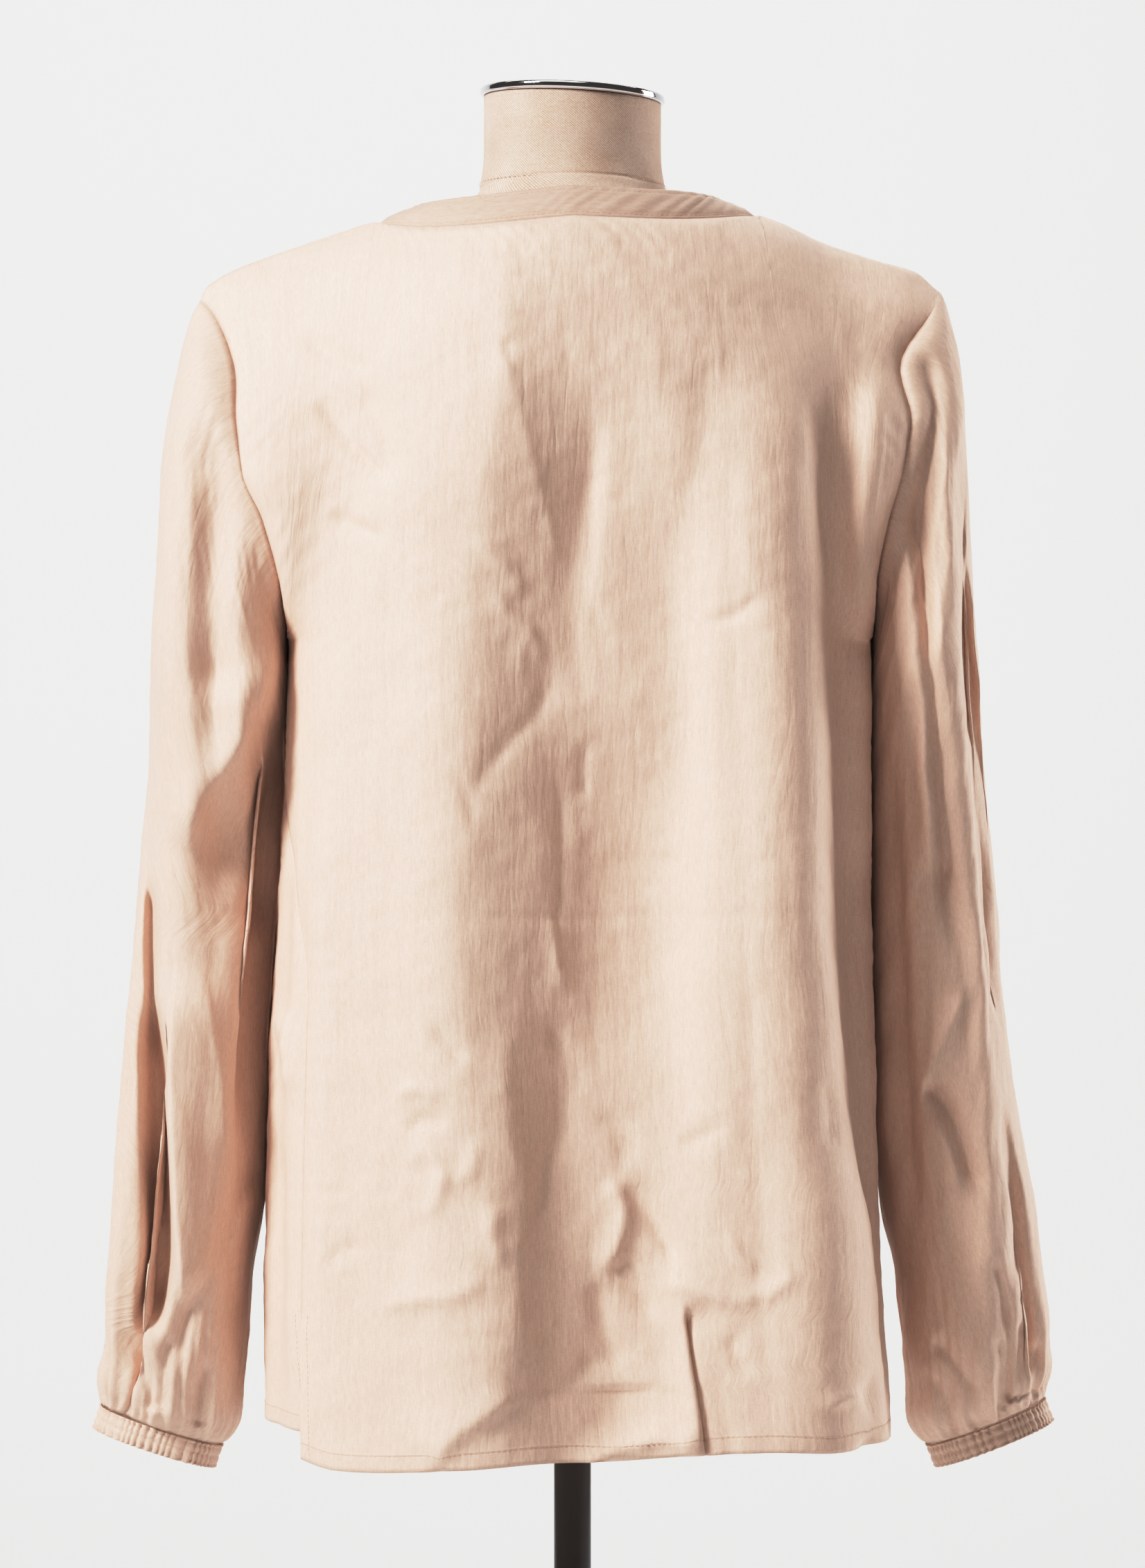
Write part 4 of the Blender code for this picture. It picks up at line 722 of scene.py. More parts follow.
# a sheet or tube of cloth on a grid of points, with its cut laid out in metres as its UV map
def clothPiece(name, grid, normals, closed, material, wall, upwards=True):
    if closed:
        grid = np.concatenate([grid, grid[:, :1]], axis=1)
        normals = np.concatenate([normals, normals[:, :1]], axis=1)
    rows, columns = grid.shape[:2]
    middle = columns // 2
    u = run(grid, 1)
    u = u - u[:, middle : middle + 1]
    v = run(grid, 0)
    v = v[-1:] - v if upwards else v
    bm = bmesh.new()
    bmesh.ops.create_grid(bm, x_segments=columns - 1, y_segments=rows - 1, size=1)
    mesh = bpy.data.meshes.new(name)
    bm.to_mesh(mesh)
    bm.free()
    flat = np.zeros(len(mesh.vertices) * 3, np.float32)
    mesh.vertices.foreach_get("co", flat)
    flat = flat.reshape(-1, 3)
    c = np.round((flat[:, 0] + 1) / 2 * (columns - 1)).astype(int)
    r = np.round((flat[:, 1] + 1) / 2 * (rows - 1)).astype(int)
    mesh.vertices.foreach_set("co", grid[r, c].astype(np.float32).ravel())
    layer = mesh.uv_layers.new(name="cut")
    corner = np.zeros(len(mesh.loops), np.int32)
    mesh.loops.foreach_get("vertex_index", corner)
    layer.data.foreach_set("uv", np.stack([u[r, c], v[r, c]], axis=1)[corner].astype(np.float32).ravel())
    bm = bmesh.new()
    bm.from_mesh(mesh)
    if closed:
        bmesh.ops.remove_doubles(bm, verts=bm.verts[:], dist=1e-7)
    bm.normal_update()
    bm.faces.ensure_lookup_table()
    face = bm.faces[len(bm.faces) // 2]
    spot = np.array(face.calc_center_median())
    nearest = np.unravel_index(((grid - spot) ** 2).sum(axis=2).argmin(), grid.shape[:2])
    if np.dot(normals[nearest], np.array(face.normal)) < 0:
        bmesh.ops.reverse_faces(bm, faces=bm.faces[:])
    bm.to_mesh(mesh)
    bm.free()
    piece = placePiece(name, mesh, material)
    solid = piece.modifiers.new("wall", "SOLIDIFY")
    solid.thickness, solid.offset = wall, -1
    return piece


def finishPiece(piece, slot, *nodes):
    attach(piece, "root")
    if nodes:
        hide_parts(*nodes)


def meshPiece(name, build, material):
    bm = bmesh.new()
    build(bm)
    mesh = bpy.data.meshes.new(name)
    bm.to_mesh(mesh)
    bm.free()
    return placePiece(name, mesh, material)


# materials


def newGroup(name, inputs, outputs):
    group = bpy.data.node_groups.new(name, "ShaderNodeTree")
    for label, kind, value in inputs:
        socket = group.interface.new_socket(name=label, in_out="INPUT", socket_type=kind)
        if value is not None:
            socket.default_value = value
    for label, kind in outputs:
        group.interface.new_socket(name=label, in_out="OUTPUT", socket_type=kind)
    return group, group.nodes.new("NodeGroupInput"), group.nodes.new("NodeGroupOutput")


def maths(tree, kind, a, b=None, c=None):
    node = tree.nodes.new("ShaderNodeMath")
    node.operation = kind
    for i, value in enumerate((a, b, c)):
        if isinstance(value, (int, float)):
            node.inputs[i].default_value = value
        elif value is not None:
            tree.links.new(value, node.inputs[i])
    return node.outputs[0]


def stretched(tree, vector, scale):
    node = tree.nodes.new("ShaderNodeVectorMath")
    node.operation = "MULTIPLY"
    tree.links.new(vector, node.inputs[0])
    node.inputs[1].default_value = scale
    return node.outputs[0]


def noise(tree, vector, detail=2.0, rough=0.5):
    node = tree.nodes.new("ShaderNodeTexNoise")
    tree.links.new(vector, node.inputs["Vector"])
    node.inputs["Scale"].default_value = 1.0
    node.inputs["Detail"].default_value = detail
    node.inputs["Roughness"].default_value = rough
    return node.outputs["Fac"]


def softStep(tree, value, low, high, first=0.0, last=1.0):
    node = tree.nodes.new("ShaderNodeMapRange")
    node.interpolation_type = "SMOOTHSTEP"
    for label, number in (("From Min", low), ("From Max", high), ("To Min", first), ("To Max", last)):
        node.inputs[label].default_value = number
    tree.links.new(value, node.inputs["Value"])
    return node.outputs["Result"]


# crepe weave with uneven threads: lengthwise streaks, crosswise threads, long slubs and a faint cloud
def slubWeave():
    group, start, end = newGroup(
        "slubWeave",
        [("Vector", "NodeSocketVector", None), ("Streak", "NodeSocketFloat", 0.5), ("Cross", "NodeSocketFloat", 0.5),
         ("Slub", "NodeSocketFloat", 0.5), ("Cloud", "NodeSocketFloat", 0.5)],
        [("Tone", "NodeSocketFloat"), ("Height", "NodeSocketFloat")],
    )
    vector = start.outputs["Vector"]
    streak = noise(group, stretched(group, vector, (1500, 190, 0)), 2.0, 0.6)
    crossed = noise(group, stretched(group, vector, (330, 1700, 0)), 2.0, 0.6)
    slub = noise(group, stretched(group, vector, (420, 22, 0)), 3.0, 0.55)
    cloud = noise(group, stretched(group, vector, (26, 14, 0)), 3.0, 0.55)
    tone = 0.5
    for value, label in ((streak, "Streak"), (crossed, "Cross"), (slub, "Slub"), (cloud, "Cloud")):
        part = maths(group, "MULTIPLY", maths(group, "SUBTRACT", value, 0.5), start.outputs[label])
        tone = maths(group, "ADD", part, tone)
    group.links.new(tone, end.inputs["Tone"])
    height = maths(group, "ADD", maths(group, "MULTIPLY", streak, 0.55), maths(group, "MULTIPLY", crossed, 0.45))
    group.links.new(maths(group, "MULTIPLY_ADD", slub, 0.5, height), end.inputs["Height"])
    return group


# slanted twill lines with a finer cross line, as on a stretched cover
def twillWeave():
    group, start, end = newGroup(
        "twillWeave",
        [("Vector", "NodeSocketVector", None), ("Pitch", "NodeSocketFloat", 0.0012), ("Lean", "NodeSocketFloat", 0.8)],
        [("Tone", "NodeSocketFloat"), ("Height", "NodeSocketFloat")],
    )
    parts = group.nodes.new("ShaderNodeSeparateXYZ")
    group.links.new(start.outputs["Vector"], parts.inputs[0])
    drift = noise(group, stretched(group, start.outputs["Vector"], (90, 90, 0)))
    wander = maths(group, "MULTIPLY", maths(group, "SUBTRACT", drift, 0.5), 0.0016)
    slant = maths(group, "MULTIPLY_ADD", parts.outputs[0], start.outputs["Lean"], parts.outputs[1])
    slant = maths(group, "ADD", slant, wander)
    turns = maths(group, "DIVIDE", slant, start.outputs["Pitch"])
    line = maths(group, "MULTIPLY_ADD", maths(group, "SINE", maths(group, "MULTIPLY", turns, 6.2832)), 0.5, 0.5)
    crossing = maths(group, "DIVIDE", parts.outputs[0], start.outputs["Pitch"])
    dot = maths(group, "MULTIPLY_ADD", maths(group, "SINE", maths(group, "MULTIPLY", crossing, 12.566)), 0.5, 0.5)
    height = maths(group, "MULTIPLY", line, maths(group, "MULTIPLY_ADD", dot, 0.45, 0.55))
    group.links.new(height, end.inputs["Height"])
    speck = noise(group, stretched(group, start.outputs["Vector"], (700, 700, 0)), 2.0, 0.6)
    cloud = noise(group, stretched(group, start.outputs["Vector"], (40, 40, 0)), 3.0, 0.5)
    tone = maths(group, "ADD", maths(group, "MULTIPLY", height, 0.55), maths(group, "MULTIPLY", speck, 0.5))
    group.links.new(maths(group, "ADD", tone, maths(group, "MULTIPLY_ADD", cloud, 0.5, -0.42)), end.inputs["Tone"])
    return group


def newMaterial(name, **sockets):
    material = bpy.data.materials.new(name)
    material.use_nodes = True
    shader = material.node_tree.nodes["Principled BSDF"]
    for label, value in sockets.items():
        shader.inputs[label].default_value = value
    return material, material.node_tree, shader


def blendColours(tree, share, dark, light, socket):
    node = tree.nodes.new("ShaderNodeMix")
    node.data_type = "RGBA"
    node.inputs["A"].default_value = (*dark, 1)
    node.inputs["B"].default_value = (*light, 1)
    tree.links.new(share, node.inputs["Factor"])
    tree.links.new(node.outputs["Result"], socket)


def addBump(tree, shader, height, distance, strength, under=None):
    node = tree.nodes.new("ShaderNodeBump")
    node.inputs["Distance"].default_value = distance
    node.inputs["Strength"].default_value = strength
    tree.links.new(height, node.inputs["Height"])
    if under:
        tree.links.new(under, node.inputs["Normal"])
    tree.links.new(node.outputs["Normal"], shader.inputs["Normal"])
    return node.outputs["Normal"]


def placeGroup(tree, group, vector, **values):
    node = tree.nodes.new("ShaderNodeGroup")
    node.node_tree = group
    tree.links.new(vector, node.inputs["Vector"])
    for label, value in values.items():
        node.inputs[label].default_value = value
    return node


def uvVector(tree):
    node = tree.nodes.new("ShaderNodeUVMap")
    node.uv_map = "cut"
    return node.outputs["UV"]


clothLook = {
    "dark": (0.665, 0.482, 0.400), "light": (0.890, 0.662, 0.550), "rough": (0.62, 0.80),
    "sheen": 0.25, "sheenRough": 0.45, "sheenTint": (1.0, 0.93, 0.86, 1), "specular": 0.35,
    "bump": 0.00022, "bumpStrength": 0.55, "crumple": 0.0022, "crumpleStrength": 0.6, "crumpleScale": (80, 14, 0),
    # the hem's edge, half its step, the line of stitching below it and the line's reach
    "hem": 0.0100, "hemStep": 0.0004, "hemLine": 0.0012, "hemLineReach": 0.0009,
    # heights of the step and of the line, how much darker the hem band is made, and the painted shade in the stitching
    # line
    "hemHeights": (1.1, 1.4), "hemBandAndGrooveShade": (0.10, 0.14),
}


def clothMaterial(name, weave, streak, crossed, slub, cloud, hem=False, shade=1.0, grain=False, crumpled=1.0):
    material, tree, shader = newMaterial(
        name, **{"Specular IOR Level": clothLook["specular"], "Sheen Weight": clothLook["sheen"],
                 "Sheen Roughness": clothLook["sheenRough"], "Sheen Tint": clothLook["sheenTint"]}
    )
    vector = uvVector(tree)
    if grain:       # cut the other way of the cloth
        turned = tree.nodes.new("ShaderNodeMapping")
        turned.inputs["Rotation"].default_value = (0, 0, math.pi / 2)
        tree.links.new(vector, turned.inputs["Vector"])
        vector = turned.outputs["Vector"]
    group = placeGroup(tree, weave, vector, Streak=streak, Cross=crossed, Slub=slub, Cloud=cloud)
    tone, height = group.outputs["Tone"], group.outputs["Height"]
    if hem:         # the doubled hem: a step and a sunk line of stitching in the bump; the hem band below the edge is made darker and the sunk line gets painted shade
        parts = tree.nodes.new("ShaderNodeSeparateXYZ")
        tree.links.new(uvVector(tree), parts.inputs[0])
        up, edge, half = parts.outputs[1], clothLook["hem"], clothLook["hemStep"]
        step = softStep(tree, up, edge - half, edge + half, 1.0, 0.0)
        away = maths(tree, "ABSOLUTE", maths(tree, "SUBTRACT", up, edge - clothLook["hemLine"]))
        line = softStep(tree, away, 0.0, clothLook["hemLineReach"], 1.0, 0.0)
        stepHeight, lineHeight = clothLook["hemHeights"]
        height = maths(tree, "ADD", height, maths(tree, "MULTIPLY", step, stepHeight))
        height = maths(tree, "SUBTRACT", height, maths(tree, "MULTIPLY", line, lineHeight))
        # the hem band is darkened, and the sunk stitching line gets painted shade
        for part, darker in zip((step, line), clothLook["hemBandAndGrooveShade"]):
            tone = maths(tree, "SUBTRACT", tone, maths(tree, "MULTIPLY", part, darker))
    # shade darkens the whole copy of the cloth: painted shade on the sleeves, partly on the neckband; the thread is
    # simply darker
    dark = tuple(value * shade for value in clothLook["dark"])
    light = tuple(value * shade for value in clothLook["light"])
    blendColours(tree, tone, dark, light, shader.inputs["Base Color"])
    smoothest, roughest = clothLook["rough"]
    tree.links.new(softStep(tree, tone, 0.2, 0.8, roughest, smoothest), shader.inputs["Roughness"])
    # faint crumples, finer than the creases in the mesh
    crumple = noise(tree, stretched(tree, vector, clothLook["crumpleScale"]), 3.0, 0.55)
    crumple = maths(tree, "ABSOLUTE", maths(tree, "SUBTRACT", crumple, 0.5))
    below = addBump(tree, shader, crumple, crumpled * clothLook["crumple"], clothLook["crumpleStrength"])
    addBump(tree, shader, height, clothLook["bump"], clothLook["bumpStrength"], below)
    return material


coverLook = {
    "dark": (0.48, 0.32, 0.24), "light": (1.0, 0.87, 0.79), "rough": (0.75, 0.9), "pitch": 0.0013, "lean": 0.8,
    "specular": 0.3, "sheen": 0.2, "sheenRough": 0.5, "bump": 0.0003, "bumpStrength": 0.6,
}


def coverMaterial(name, weave):
    material, tree, shader = newMaterial(
        name, **{"Specular IOR Level": coverLook["specular"], "Sheen Weight": coverLook["sheen"],
                 "Sheen Roughness": coverLook["sheenRough"]}
    )
    group = placeGroup(tree, weave, uvVector(tree), Pitch=coverLook["pitch"], Lean=coverLook["lean"])
    tone, (smoothest, roughest) = group.outputs["Tone"], coverLook["rough"]
    blendColours(tree, tone, coverLook["dark"], coverLook["light"], shader.inputs["Base Color"])
    tree.links.new(softStep(tree, tone, 0.0, 1.0, roughest, smoothest), shader.inputs["Roughness"])
    addBump(tree, shader, group.outputs["Height"], coverLook["bump"], coverLook["bumpStrength"])
    return material


def objectVector(tree):
    return tree.nodes.new("ShaderNodeTexCoord").outputs["Object"]


# dark and light tone, metal or not, least and most roughness, stretch of the grain, its height and strength
metalLooks = {
    "polishedCap": ((0.70, 0.70, 0.72), (0.86, 0.86, 0.88), 1.0, (0.06, 0.13), (900, 900, 60), 0.00002, 0.1),
    "satinBlackTube": ((0.058, 0.062, 0.070), (0.100, 0.106, 0.118), 0.0, (0.28, 0.38), (300, 300, 30), 0.00003, 0.1),
    "texturedBlackDisc": (
        (0.012, 0.012, 0.014), (0.028, 0.028, 0.032), 0.0, (0.36, 0.52), (900, 900, 900), 0.0001, 0.35,
    ),
}


def metalMaterial(name):
    dark, light, metallic, (low, high), scale, distance, strength = metalLooks[name]
    material, tree, shader = newMaterial(name, Metallic=metallic)
    vector = objectVector(tree)
    fine = noise(tree, stretched(tree, vector, scale), 3.0, 0.6)
    broad = noise(tree, stretched(tree, vector, (14, 14, 9)), 3.0, 0.5)
    both = maths(tree, "ADD", maths(tree, "MULTIPLY", fine, 0.5), maths(tree, "MULTIPLY", broad, 0.5))
    blendColours(tree, both, dark, light, shader.inputs["Base Color"])
    tree.links.new(softStep(tree, both, 0.3, 0.7, low, high), shader.inputs["Roughness"])
    addBump(tree, shader, fine, distance, strength)
    return material


weave, twill = slubWeave(), twillWeave()
# strength of streaks, cross threads, slubs and cloud
panelCloth = clothMaterial("peachCrepe", weave, 1.3, 0.8, 0.55, 0.30, hem=True)
# the sleeves and cuffs are the panels' cloth made 7 % darker: painted shade
shadedSleeveCloth = clothMaterial("peachCrepeSleeveShaded", weave, 1.3, 0.8, 0.55, 0.30, shade=0.93)
# the neckband is the same cloth made 26 % darker: partly its other grain and face, partly painted shade
bandClothGrainAndShade = clothMaterial("peachCrepeBandGrainAndShade", weave, 1.3, 0.9, 0.6, 0.8, shade=0.74, grain=True, crumpled=0.25)
threadCloth = clothMaterial("peachThread", weave, 0.5, 0.5, 0.5, 0.3, shade=0.90)
tanTwill = coverMaterial("tanTwill", twill)
polished = metalMaterial("polishedCap")
satinBlack = metalMaterial("satinBlackTube")
texturedBlack = metalMaterial("texturedBlackDisc")
print("materials made")

# dress form and stand
form = {
    # height, left, right, back, front
    "sections": (
        (0.775, 0.1440, 0.1440, 0.0900, 0.0860), (0.860, 0.1490, 0.1490, 0.0960, 0.0900),
        (0.950, 0.1370, 0.1370, 0.0900, 0.0860), (1.030, 0.1190, 0.1190, 0.0800, 0.0860),
        (1.100, 0.1350, 0.1360, 0.0910, 0.1080), (1.150, 0.1475, 0.1510, 0.1010, 0.1205),
        (1.185, 0.1490, 0.1540, 0.1005, 0.1220),
    ),
    "inset": 0.0034, "tipInset": 0.0046, "short": 0.016, "foot": 0.775, "columns": 96, "upperRows": 44, "lowerRows": 56,
    "hollow": 0.0070,       # how much further in the covered back lies, between the shoulder blades
    # radius, height
    "neck": (
        (0.0640, 1.3900), (0.0700, 1.4290), (0.0620, 1.4345), (0.0555, 1.4405), (0.0520, 1.4465),
        (0.0503, 1.4550), (0.0500, 1.4650), (0.0500, 1.4905),
    ),
    "seamHeight": 1.4440, "capDrop": -0.050, "neckForward": 0.010, "neckSlope": 0.25,
    "capRadius": 0.0522, "capThickness": 0.0048, "capRound": 0.0018, "gap": 0.0003,
    "poleRadius": 0.0104, "baseRadius": 0.150, "baseThickness": 0.009, "baseRound": 0.003,
    "seamGroove": 0.0007, "seamWidth": 0.0009, "neckSteps": 128, "poleSteps": 64, "baseSteps": 160,
    "collar": ((0.0045, 0.030), (0.0058, 0.0285), (0.0058, 0.0015), (0.0045, 0.0)),     # out from the tube, up from its foot
    "dish": ((0.0070, 0.0006), (0.0052, 0.0002), (0.0040, 0.0)),        # in from the cap's edge, down from its top
}


def formGrid(face):
    across = np.linspace(-1, 1, form["columns"] + 1)
    handles = columnHandles(across, face, form["sections"], form["inset"], form["tipInset"], form["short"])
    t = np.linspace(0, 1, form["upperRows"] + 1)[:, None] + 0 * across[None, :]
    upper = columnPoint(handles, t)
    down = np.linspace(0, 1, form["lowerRows"] + 1)[1:, None]
    height = mix(cut["chest"], form["foot"], down) + 0 * across[None, :]
    turn = across * math.pi / 2
    turn = turn if face == "back" else wrapped(math.pi - turn)
    grid = np.concatenate([upper, sectionPoint(form["sections"], height, turn[None, :] + 0 * height)])
    if face == "back":
        z, sides = grid[..., 2], smooth((0.92 - np.abs(across)) / 0.45)[None, :]
        depth = form["hollow"] * sides * smooth((1.405 - z) / 0.05) * smooth((z - 0.93) / 0.10)
        grid = grid - gridNormals(grid, False) * depth[..., None]
    return grid


# adds a grid of points to a bmesh as faces, made flat first and then put in place
def addGrid(bm, grid, uvLayer):
    rows, columns = grid.shape[:2]
    made = bmesh.ops.create_grid(bm, x_segments=columns - 1, y_segments=rows - 1, size=1)["verts"]
    u, v = run(grid, 1), run(grid, 0)
    u = u - u[:, columns // 2][:, None]
    places = {}
    for vert in made:
        c, r = round((vert.co.x + 1) / 2 * (columns - 1)), round((vert.co.y + 1) / 2 * (rows - 1))
        vert.co = grid[r, c]
        places[vert] = (u[r, c], v[r, c])
    for f in {f for vert in made for f in vert.link_faces}:
        for loop in f.loops:
            loop[uvLayer].uv = places[loop.vert]


def roundTheAxis(bm, uvLayer, radius, shift=0.0):
    for f in bm.faces:
        middle = math.atan2(f.calc_center_median().x, -(f.calc_center_median().y - shift))
        for loop in f.loops:
            turn = math.atan2(loop.vert.co.x, -(loop.vert.co.y - shift))
            turn = middle + (turn - middle + math.pi) % (2 * math.pi) - math.pi
            loop[uvLayer].uv = (turn * radius, loop.vert.co.z)


def spinProfile(bm, outline, steps):
    ring = [bm.verts.new((radius, 0, height)) for radius, height in outline]
    edges = [bm.edges.new(pair) for pair in zip(ring, ring[1:])]
    bmesh.ops.spin(
        bm, geom=ring + edges, axis=(0, 0, 1), cent=(0, 0, 0), angle=2 * math.pi, steps=steps, use_merge=True
    )
    bmesh.ops.remove_doubles(bm, verts=bm.verts[:], dist=1e-6)
    bmesh.ops.recalc_face_normals(bm, faces=bm.faces[:])


def buildTorso(bm):
    layer = bm.loops.layers.uv.new("cut")
    for face in ("back", "front"):
        addGrid(bm, formGrid(face), layer)
    bmesh.ops.remove_doubles(bm, verts=bm.verts[:], dist=0.0002)
    openEdges = [edge for edge in bm.edges if edge.is_boundary]
    filled = bmesh.ops.holes_fill(bm, edges=openEdges, sides=0)["faces"]
    bmesh.ops.triangulate(bm, faces=[f for f in filled if f.is_valid])
    bmesh.ops.recalc_face_normals(bm, faces=bm.faces[:])


def buildNeck(bm):
    layer = bm.loops.layers.uv.new("cut")
    rows = np.array(form["neck"])
    index = np.linspace(0, len(rows) - 1, 90)
    keyed = np.column_stack([np.arange(len(rows)), rows])
    radius, height = readTable(keyed, 1, index), readTable(keyed, 2, index)
    radius = radius - form["seamGroove"] * np.exp(-(((height - form["seamHeight"]) / form["seamWidth"]) ** 2))
    outline = [(0, height[0])] + list(zip(radius, height)) + [(0, height[-1])]
    spinProfile(bm, outline, form["neckSteps"])
    roundTheAxis(bm, layer, 0.050)
    for vert in bm.verts:
        out = math.hypot(vert.co.x, vert.co.y)
        foot = 1 - float(smooth((vert.co.z - 1.429) / 0.026))
        vert.co.z += form["capDrop"] * vert.co.x * float(smooth((vert.co.z - 1.435) / 0.045))
        vert.co.z -= form["neckSlope"] * (vert.co.y + out) * foot
        vert.co.y += form["neckForward"]


def roundedRim(radius, low, high, roundBy, steps=8):
    turns = [math.pi / 2 * k / steps for k in range(steps + 1)]
    corner = [(radius - roundBy * (1 - math.sin(turn)), roundBy * (1 - math.cos(turn))) for turn in turns]
    return [(out, high - down) for out, down in corner] + [(out, low + up) for out, up in reversed(corner)]


# the cap: a polished disc with a rolled rim and a fine groove inside it
def buildCap(bm):
    low = form["neck"][-1][1] + form["gap"]
    high, radius = low + form["capThickness"], form["capRadius"]
    rim = roundedRim(radius, low, high, form["capRound"])
    dish = [(radius - inwards, high - down) for inwards, down in form["dish"]]
    dish = [(0, dish[0][1])] + dish
    spinProfile(bm, dish + rim + [(radius - 0.0034, low), (0, low)], form["neckSteps"])
    for vert in bm.verts:
        vert.co.z += form["capDrop"] * vert.co.x
        vert.co.y += form["neckForward"]


def buildPole(bm):
    top, foot, radius = form["foot"] - form["gap"], form["baseThickness"] + form["gap"], form["poleRadius"]
    collar = [(radius + out, foot + up) for out, up in form["collar"]]
    spinProfile(bm, [(0, top), (radius, top), (radius, foot + 0.0302)] + collar + [(0, foot)], form["poleSteps"])


def buildBase(bm):
    rim = roundedRim(form["baseRadius"], 0.0, form["baseThickness"], form["baseRound"])
    spinProfile(bm, [(0, form["baseThickness"])] + rim + [(0, 0)], form["baseSteps"])


torso = meshPiece("formTorso", buildTorso, tanTwill)
neck = meshPiece("formNeck", buildNeck, tanTwill)
cap = meshPiece("neckCap", buildCap, polished)
pole = meshPiece("standPole", buildPole, satinBlack)
base = meshPiece("standBase", buildBase, texturedBlack)
for piece, slotName, node in ((torso, "form_cover", "form_body"), (cap, "cap_chrome", "neck_cap"),
                              (pole, "pole_black", "pole"), (base, "base_black", "base")):
    finishPiece(piece, slotName, node)
finishPiece(neck, "form_cover", "form_body")
print("form and stand made")

# the cloth
back, front = panelGrid("back"), panelGrid("front")
grids = {
    "back": back, "front": front,
    "left": sleeveGrid("left", armhole("left", back, front)),
    "right": sleeveGrid("right", armhole("right", back, front)),
    "band": bandGrid(back, front),
}
rings = {"left", "right", "band"}
normals = {name: gridNormals(grid, name in rings) for name, grid in grids.items()}
joinNormals(grids, normals)
bm = bmesh.new()
bm.from_mesh(torso.data)
torsoTree = BVHTree.FromBMesh(bm)
bm.free()
print("cloth laid out:", {name: grid.shape[:2] for name, grid in grids.items()})


def facing(normal, towards):
    return smooth((normal[..., 1] * towards + 0.05) / 0.40)


def panelPush(name):
    grid, normal = grids[name], normals[name]
    x, z = grid[..., 0], grid[..., 2]
    across, down = run(grid, 1), run(grid, 0)
    side = np.minimum(across, across[:, -1:] - across)
    if name == "back":
        push, fine = creaseDepth(creases["back"], x, z) * facing(normal, -1)
    else:
        push, fine = creaseDepth(creases["front"], x, z) * facing(normal, 1)
        strip, fineStrip = creaseDepth(creases["strip"], x, z) * facing(normal, -1)
        push, fine = push + strip, fine + fineStrip
    fine = fine + ripple(x + 0.6 * grid[..., 1], z - 0.7 * np.abs(grid[..., 1]), 3 if name == "back" else 8)
    free = clearance(grid, normal, torsoTree)
    sewn = smooth((drape["ventTop"] - z) / drape["ventReach"])      # below the vents' tops the edges are free
    quiet = mix(smooth(side / drape["quiet"]), 1.0, sewn) * smooth(down / (0.6 * drape["quiet"]))
    push = np.maximum(settle(push, free) + fine, -free) * quiet
    along = np.cumsum(np.linalg.norm(np.diff(grid[:, 0], axis=0, prepend=grid[:1, 0]), axis=1))[:, None]
    push = push + seamShape(side, along + 0 * side, 1.0) * (1 - sewn)
    return push + seamShape(down, across, 2.0) * np.where(side < 0.004, smooth(side / 0.004), 1.0)


def sleevePush(name):
    grid, normal = grids[name], normals[name]
    x, z = grid[..., 0], grid[..., 2]
    across, down = run(grid, 1), run(grid, 0)
    other = "right" if name == "left" else "left"
    drawn = -creaseDepth(creases[name], x, z).sum(axis=0) * facing(normal, -1)
    hidden = creaseDepth(creases[other], -x, z + drape["hiddenRise"]).sum(axis=0)
    drawn = drawn + hidden * facing(normal, 1) * drape["hiddenShare"]
    angle = np.arange(grid.shape[1]) / grid.shape[1] * 2 * math.pi
    wave = sum(part * np.sin(count * angle + phase) for count, part, phase in sleeveCut["fineGathers"])
    end = down[-1:] - down
    rise = end / sleeveCut["fineReach"]
    fade = smooth(1 - rise * (1 + 0.5 * np.sin(5 * angle + 1))) * smooth(end / 0.004 + 0.35)
    push = sleeveCut["fineDepth"] * wave * fade
    push = push + ripple(across + 0 * down, down, 5 if name == "left" else 6) * smooth(end / 0.02)
    near = smooth(down / drape["quiet"]) * smooth(end / 0.010 + 0.2)
    push, drawn = push * near, drawn * near
    # the cloth blouses over the cuff and turns in to meet it
    push = push + sleeveCut["blousing"] * np.exp(-(((end - sleeveCut["blousingAt"]) / sleeveCut["blousingReach"]) ** 2))
    push = push - sleeveCut["tuck"] * smooth(1 - end / sleeveCut["tuckReach"])
    ring = across[0][None, :] + 0 * down
    return push + seamShape(down, ring, 3.0), drawn


def bandPush():
    grid = grids["band"]
    across, down = run(grid, 1), run(grid, 0)
    q = down / down[-1:]
    wave = np.sin(across / 0.0023 + 2 * np.sin(across / 0.017)) * (0.5 + 0.5 * np.sin(across / 0.031 + 1))
    slow = np.sin(across / 0.008 + 1.5 * np.sin(across / 0.03))
    nape = np.exp(-(((grid[..., 0] - bandCut["nape"]) / bandCut["napeReach"]) ** 2)) * (grid[..., 1] < 0)
    wave = wave * (1 + bandCut["napeGain"] * nape)      # most puckered at the nape
    held = sum(np.exp(-(((q - at) / bandCut["sinkReach"]) ** 2)) for at in bandCut["sinkRows"])
    push = (bandCut["pucker"] * wave + bandCut["slowPucker"] * slow) * np.sin(math.pi * np.clip(q, 0, 1))
    return push - bandCut["sink"] * held + seamShape(down, across, 2.0) * bandCut["seamShare"]


push, drawn = {"back": panelPush("back"), "front": panelPush("front"), "band": bandPush()}, {}
for name in ("left", "right"):
    push[name], drawn[name] = sleevePush(name)
